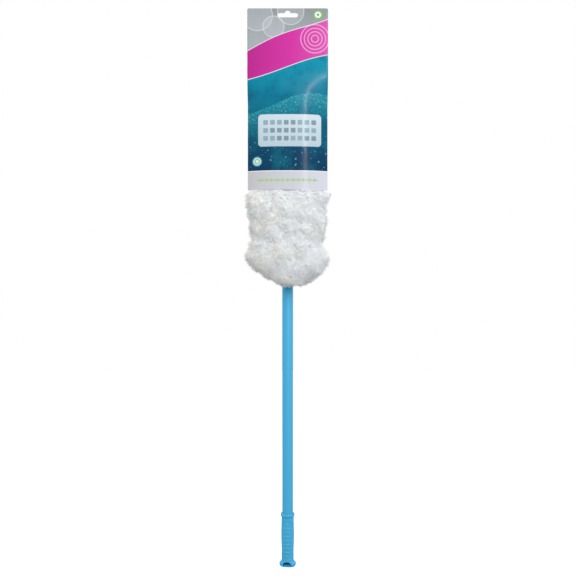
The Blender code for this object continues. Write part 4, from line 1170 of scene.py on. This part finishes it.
def steel(name, colour, roughness, along):
    """Brushed or plated steel, with brush lines round or along it."""
    metal = Surface(name, colour, roughness, 1.0)
    where = metal.stretched(1.0, 1.0, 0.02) if along else metal.stretched(0.05, 0.05, 1.0)
    lines = metal.noise(900.0, detail=3, where=where)
    metal.tint(metal.noise(90.0, detail=4), scaled(colour, 0.86), scaled(colour, 1.06))
    metal.set("Roughness", metal.span(lines, 0.3, 0.7, roughness - 0.06, roughness + 0.10))
    metal.bump(lines, 0.15, 0.0001)
    return metal.material


def make_pole(paint, blue, bare):
    """Tubes and the bush in the mouth of the outer one."""
    low, high = limits("mouth_bush", 2)
    bore, sleeve, flange, groove = 0.0097, 0.0103, 0.0122, 0.0004
    flange_low = high - 0.0057
    bush = [(sleeve, low), (sleeve, flange_low), (flange, flange_low)]
    for share in (0.2, 0.5, 0.8):
        z = flange_low + (high - flange_low) * share
        bush += [(flange, z - groove), (flange - groove, z), (flange, z + groove)]
    bush += [(flange, high), (bore, high), (bore, low)]
    bush = [(bore, low)] + rounded_stations(bush, 0.0004)[:-1]
    low, high = limits("outer_tube", 2)
    outer = [(0.0105, low), (0.0105, high), (0.0107, high + 0.0001), (0.0110, high - 0.0003), (0.0110, low)]
    low, high = limits("inner_tube", 2)
    inner = [(0.0090, low), (0.0090, high), (0.0095, high), (0.0095, low + 0.0004), (0.0093, low)]
    for name, node, body, slot, material, stations in (
        ("painted_tube", "outer_tube", "pole", "blue_paint", paint, outer),
        ("steel_tube", "inner_tube", "handle", "bare_steel", bare, inner),
        ("tube_bush", "mouth_bush", "pole", "blue_plastic", blue, bush),
    ):
        tube = turned(name, "Z", (0, POLE_Y), stations, closed=True)
        dressed(tube, body, node, material)


# Grip

def hole_wall_with_painted_shade():
    """The wall of the hang hole, with painted light and shade: a painted highlight, a brighter blue than the
    plastic, at its front lip, and painted shade, deep blue and dull, further in.
    """
    wall = Surface("hang hole wall", BLUE, 0.5)
    depth = wall.axes()[1]
    # painted shade: a mask from just behind the middle of the hole to near its back opening
    deep = wall.step(depth, POLE_Y + 0.0012, 0.0030) * (1.0 - wall.step(depth, POLE_Y + 0.0110, 0.0008))
    # painted highlight: the brighter blue of the lit front lip
    bright = wall.mix(wall.noise(45.0, detail=3), (0.018, 0.450, 0.760), (0.024, 0.500, 0.820))
    # mixes from the painted highlight's blue to the painted shade's dark navy
    wall.tint(deep, bright, (0.002, 0.062, 0.185))
    wall.set("Roughness", wall.span(deep, 0.0, 1.0, 0.45, 0.95))
    wall.set("Specular IOR Level", 0.12)
    wall.bump(wall.noise(2600.0), 0.20, 0.0001)
    return wall.material


def grip_levels(low, high):
    """(level, half width, half depth, power) of the grip's outside, from its rounded end to its bead."""
    half_x, half_y, end_power = 0.0169, 0.0130, 2.4
    waist, swell, mouth = 0.0124, 0.0131, 0.01255
    bead_height, bead_radius = 0.0070, 0.0143
    bead_end = high - bead_height
    levels = []
    for turn in np.linspace(0, 1, 12)[:-1] * (math.pi / 2):
        taken = 0.0052 * (1 - math.sin(turn))
        levels.append((low + 0.0054 * (1 - math.cos(turn)), half_x - taken, half_y - taken, end_power))
    levels += [(z, half_x, half_y, end_power) for z in np.linspace(low + 0.0054, low + 0.0068, 5)]
    for t in np.linspace(0, 1, 26)[1:]:
        ease = 0.5 * smoothstep(t) + 0.5 * min(1.25 * t, 1)
        z = low + 0.0068 + 0.0070 * t
        levels.append((z, half_x + (waist - half_x) * ease, half_y + (waist - half_y) * ease,
                       end_power - (end_power - 2) * ease))
    body_low = levels[-1][0]
    swell_end = high - PANEL_DROP - 2 * PANEL_HALF_Z / 3
    for z in np.arange(body_low + 0.0004, bead_end - 0.0003, 0.0004):
        if z < swell_end:
            radius = waist + (swell - waist) * smoothstep((z - body_low) / (swell_end - body_low))
        else:
            radius = swell + (mouth - swell) * smoothstep((z - swell_end) / (bead_end - swell_end))
        radius -= 0.0007 * math.exp(-((bead_end - z) / 0.0016) ** 2)
        levels.append((z, radius, radius, 2.0))
    neck = mouth - 0.0005
    for t in np.linspace(0, 1, 20):
        radius = neck + (bead_radius - neck) * math.sqrt(max(1 - (2 * t - 1) ** 2, 0))
        levels.append((bead_end + bead_height * t, radius, radius, 2.0))
    return levels


def shape_grip(skin, high, hole_low, spring):
    """Raises the grip's panel and its ribs, and rounds the front rim of its hang hole."""
    x, y, z = np.moveaxis(skin, -1, 0)
    middle = high - PANEL_DROP - PANEL_HALF_Z
    edge = beyond(x, z - middle, 0.0108, PANEL_HALF_Z, 0.0105)
    rise = 0.0005 * (1 - smoothstep((edge + 0.00035) / 0.0007))
    rise -= 0.00080 * np.exp(-((edge - 0.0009) / 0.0008) ** 2)
    for index in range(-3, 4):
        rib = beyond(x, z - (middle + 0.0078 * index), 0.0063, 0.0011, 0.0007)
        rise += 0.0008 * (1 - smoothstep((rib + 0.0004) / 0.0008))
    radius = np.hypot(x, y)
    factor = (radius + rise) / radius
    x *= factor
    y *= factor
    up = np.maximum((z - spring) / HOLE_RISE, 0)
    away = np.maximum((np.hypot(np.abs(x) / HOLE_HALF, up) - 1) * 0.0080, hole_low - z)
    sink = np.clip(1 - away / 0.0011, 0, 1) ** 2 * 0.0009
    y += np.where((np.abs(x) < 0.012) & (away > -0.002) & (y < 0), sink, 0)


def make_grip(blue):
    low, high = limits("grip_sleeve", 2)
    high -= 0.0016
    bore = 0.0112
    levels = grip_levels(low, high)
    outer = len(levels)
    levels += [(high - 0.0004, bore + 0.0006, bore + 0.0006, 2.0), (high - 0.0012, bore, bore, 2.0),
               (low + 0.0170, bore, bore, 2.0)]
    points = np.array([oval_ring(*level, 220) for level in levels])
    hole_low = low + 0.0024
    spring = hole_low + 0.0094 * 0.2
    shape_grip(points[:outer], high, hole_low, spring)

    grip = lofted("moulded_grip", points)
    outline = [(-HOLE_HALF, hole_low), (HOLE_HALF, hole_low)]
    outline += [(HOLE_HALF * a, spring + HOLE_RISE * b) for a, b in arc((0, 0), 1, 0, 180, 36)]
    hole = lofted("hole", [placed("Y", outline, y) for y in (-0.03, 0.03)])
    wall = hole_wall_with_painted_shade()
    for item in (grip, hole):
        item.data.materials.append(blue)
        item.data.materials.append(wall)
    # the faces of the hang hole take the wall with painted highlight and shade
    for face in hole.data.polygons:
        face.material_index = 1
    cut(grip, hole)
    grip.data.transform(Matrix.Translation((0, POLE_Y, 0)) @ Matrix.Rotation(GRIP_TURN, 4, "Z"))
    dressed(shade(grip, 38), "pole", "grip_sleeve")


# Swivel

def pan_screw(name, node, body, centre, seat, tip, material):
    """A pan-head screw with a cross recess, seen from the back."""
    shank, radius, height = 0.0016, 0.0032, 0.0018
    stations = [(shank, tip), (shank, seat), (radius, seat), (radius, seat + height * 0.35)]
    for t in np.linspace(0, 1, 8)[1:-1]:
        turn = math.pi / 2 * t
        stations.append((radius * (0.75 * math.cos(turn) + 0.25 * (1 - t)),
                         seat + height * (0.35 + 0.65 * math.sin(turn))))
    screw = turned(name, "Y", centre, stations + [(0.0004, seat + height)], 40)
    for size in ((0.0034, 0.0018, 0.0007), (0.0007, 0.0018, 0.0034)):
        bm = bmesh.new()
        place = Matrix.Translation((centre[0], seat + height, centre[1])) @ Matrix.Diagonal((*size, 1))
        bmesh.ops.create_cube(bm, size=1.0, matrix=place)
        cut(screw, mesh_from("cross", bm))
    dressed(shade(screw, 35), body, node, material)


def make_bracket(grey, zinc):
    """Two ears with webs on a screwed base."""
    plate_back = limits("frame_plate", 1)[1]
    base_low = plate_back + SEAM
    base_high = base_low + 0.003
    base_width, base_length, screw_inset = 0.048, 0.034, 0.0058
    ear_inner, ear_outer, web_inner, web_outer = 0.0074, 0.0114, 0.0112, 0.0150
    base = rounded_rectangle(base_width, base_length, 0.006, (0, FOLD_Z), 10)
    pieces = [soft_slab("base", "Y", base, base_low, base_high, 0.0006)]
    foot = base_high - 0.0015
    ear = [(foot, FOLD_Z - 0.011)] + arc((POLE_Y, FOLD_Z), 0.0075, -80, 80, 24) + [(foot, FOLD_Z + 0.011)]
    web_line = [(base_high - 0.001, FOLD_Z - 0.0011), (base_high + 0.0075, FOLD_Z - 0.0007),
                (base_high + 0.0075, FOLD_Z + 0.0007), (base_high - 0.001, FOLD_Z + 0.0011)]
    for side in (-1, 1):
        pieces.append(soft_slab("ear", "X", ear, *sorted((side * ear_inner, side * ear_outer)), 0.0005))
        web = soft_slab("web", "X", web_line, *sorted((side * web_inner, side * web_outer)), 0.0002)
        for vert in web.data.vertices:
            out = (abs(vert.co.x) - web_inner) / (web_outer - web_inner)
            if vert.co.y > base_high:
                vert.co.y = base_high + (vert.co.y - base_high) * (1 - 0.82 * min(max(out, 0), 1))
        pieces.append(web)
    bracket = shade(merged("pivot_bracket", pieces), 45)
    dressed(bracket, "head", "swivel_bracket", grey)
    for number, (across, up) in enumerate(((-1, 1), (1, 1), (-1, -1), (1, -1)), 1):
        centre = (across * (base_width / 2 - screw_inset), FOLD_Z + up * (base_length / 2 - screw_inset))
        pan_screw(f"base_screw_{number}", f"bracket_screw_{number}", "head", centre, base_high + SEAM,
                  plate_back - 0.0024, zinc)


def make_pins(white, zinc):
    """Pins with domed heads, and their caps."""
    for name, axis, centre, middle, reach, body in (
        ("fold_pin", "X", (POLE_Y, FOLD_Z), 0.0, 0.0114, "head"),
        ("tilt_pin", "Y", (0, TILT_Z), POLE_Y, 0.0084, "handle"),
    ):
        seat, cap_seat = middle - reach - SEAM, middle + reach + SEAM
        end = cap_seat + 0.0028
        top = end + SEAM + 0.001
        head = [(0.0002, seat - 0.0015), (0.0022, seat - 0.00145), (0.0034, seat - 0.0011)]
        head += [(0.0040, seat - 0.0004), (0.0040, seat), (0.0025, seat), (0.0025, end)]
        pin = turned(name + "_steel", axis, centre, head, 48)
        dressed(pin, body, name, zinc)
        cup = [(0.0026, end + SEAM), (0.0026, cap_seat), (0.0041, cap_seat), (0.0041, top - 0.0012)]
        cup += [(0.0038, top - 0.0004), (0.0030, top), (0.0002, top + 0.0001)]
        cap = turned(name + "_push_cap", axis, centre, cup, 48)
        dressed(cap, body, name + "_cap", white)


def make_link(blue):
    """A barrel across, and a tongue down from it."""
    hole, radius, half, bevel = 0.00265, 0.0070, 0.0070, 0.0006
    side = [(hole, half), (radius - bevel, half), (radius, half - bevel)]
    side = [(across, -depth) for across, depth in side] + side[::-1]
    barrel = turned("barrel", "X", (POLE_Y, FOLD_Z), side, closed=True)
    tongue = [(radius, FOLD_Z), (-radius, FOLD_Z)] + arc((0, TILT_Z), radius, 180, 360, 30)
    tongue = soft_slab("tongue", "Y", tongue, POLE_Y - 0.004, POLE_Y + 0.004, 0.0006)
    link = shade(merged("pivot_link", [barrel, tongue]), 45)
    dressed(link, "link", "swivel_link", blue)


def make_socket(blue, zinc):
    """The fork and the tapered socket over the top of the steel tube."""
    root = TILT_Z - 0.0085
    end = limits("handle_socket", 2)[0]
    taper_end = root - 0.0195
    cheek_half, cheek_outer, lip, edge, groove, square = 0.010, 0.0084, 0.0114, 0.0008, 0.0005, 9.0
    levels = [(root, cheek_half - edge, cheek_outer - edge, square),
              (root - 0.0007, cheek_half, cheek_outer, square)]
    for share in np.linspace(0, 1, 22)[1:]:
        ease = smoothstep((share - 0.16) / 0.84)
        levels.append((root + (taper_end - root) * share, cheek_half + (lip - cheek_half) * ease,
                       cheek_outer + (lip - cheek_outer) * ease, square ** (1 - ease) * 2 ** ease))
    body = []
    for z in (-0.4050, -0.4110, -0.4170, -0.4230, -0.4290, -0.4350):
        body += [(lip, z + 0.0012), (lip - groove, z + 0.0006), (lip - groove, z - 0.0006), (lip, z - 0.0012)]
    body += [(lip, end + 0.0044), (0.0120, end + 0.0038), (0.0120, end + 0.0006), (0.0116, end)]
    body += [(0.0097, end), (0.0097, end + 0.0440)]
    levels += [(z, radius, radius, 2.0) for radius, z in body]
    pieces = [shade(lofted("socket_body", [oval_ring(*level, 96, POLE_Y) for level in levels]))]
    cheek = arc((0, TILT_Z), cheek_half, 0, 180, 40)
    cheek += [(-cheek_half, root - 0.0030), (cheek_half, root - 0.0030)]
    for side in (-1, 1):
        near, far = sorted((POLE_Y + side * 0.0044, POLE_Y + side * cheek_outer))
        pieces.append(soft_slab("cheek", "Y", cheek, near, far, 0.0005))
    dressed(shade(merged("pole_socket", pieces)), "handle", "handle_socket", blue)
    low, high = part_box("socket_screw")
    pan_screw("pole_screw", "socket_screw", "handle", (0, (low.z + high.z) / 2), high.y - 0.0018, low.y, zinc)


# What stays as it is

def finish_kept(grey, white):
    """Materials for the solids that are shown as they are."""
    rubber = moulded("soft blade rubber", srgb(112, 116, 122), 0.62, 0.6)
    finishes = {"frame_plate": grey, "lock_core": white, "lock_collar": white}
    finishes.update({"flex_edge_" + side: rubber for side in ("left", "right", "top", "bottom")})
    for name, material in finishes.items():
        nodes[name].data.materials.clear()
        nodes[name].data.materials.append(material)


make_studio()
blue_plastic = moulded("blue plastic", BLUE, 0.34)
blue_paint = painted("blue paint", BLUE)
grey_plastic = moulded("grey plastic", srgb(196, 199, 203), 0.5)
white_plastic = moulded("white plastic", srgb(226, 226, 224), 0.45)
bare_steel = steel("bare steel", srgb(176, 178, 182), 0.32, True)
zinc_steel = steel("zinc steel", srgb(196, 197, 200), 0.30, False)
make_card()
make_pile()
make_cloths()
make_pole(blue_paint, blue_plastic, bare_steel)
make_grip(blue_plastic)
make_bracket(grey_plastic, zinc_steel)
make_pins(white_plastic, zinc_steel)
make_link(blue_plastic)
make_socket(blue_plastic, zinc_steel)
finish_kept(grey_plastic, white_plastic)
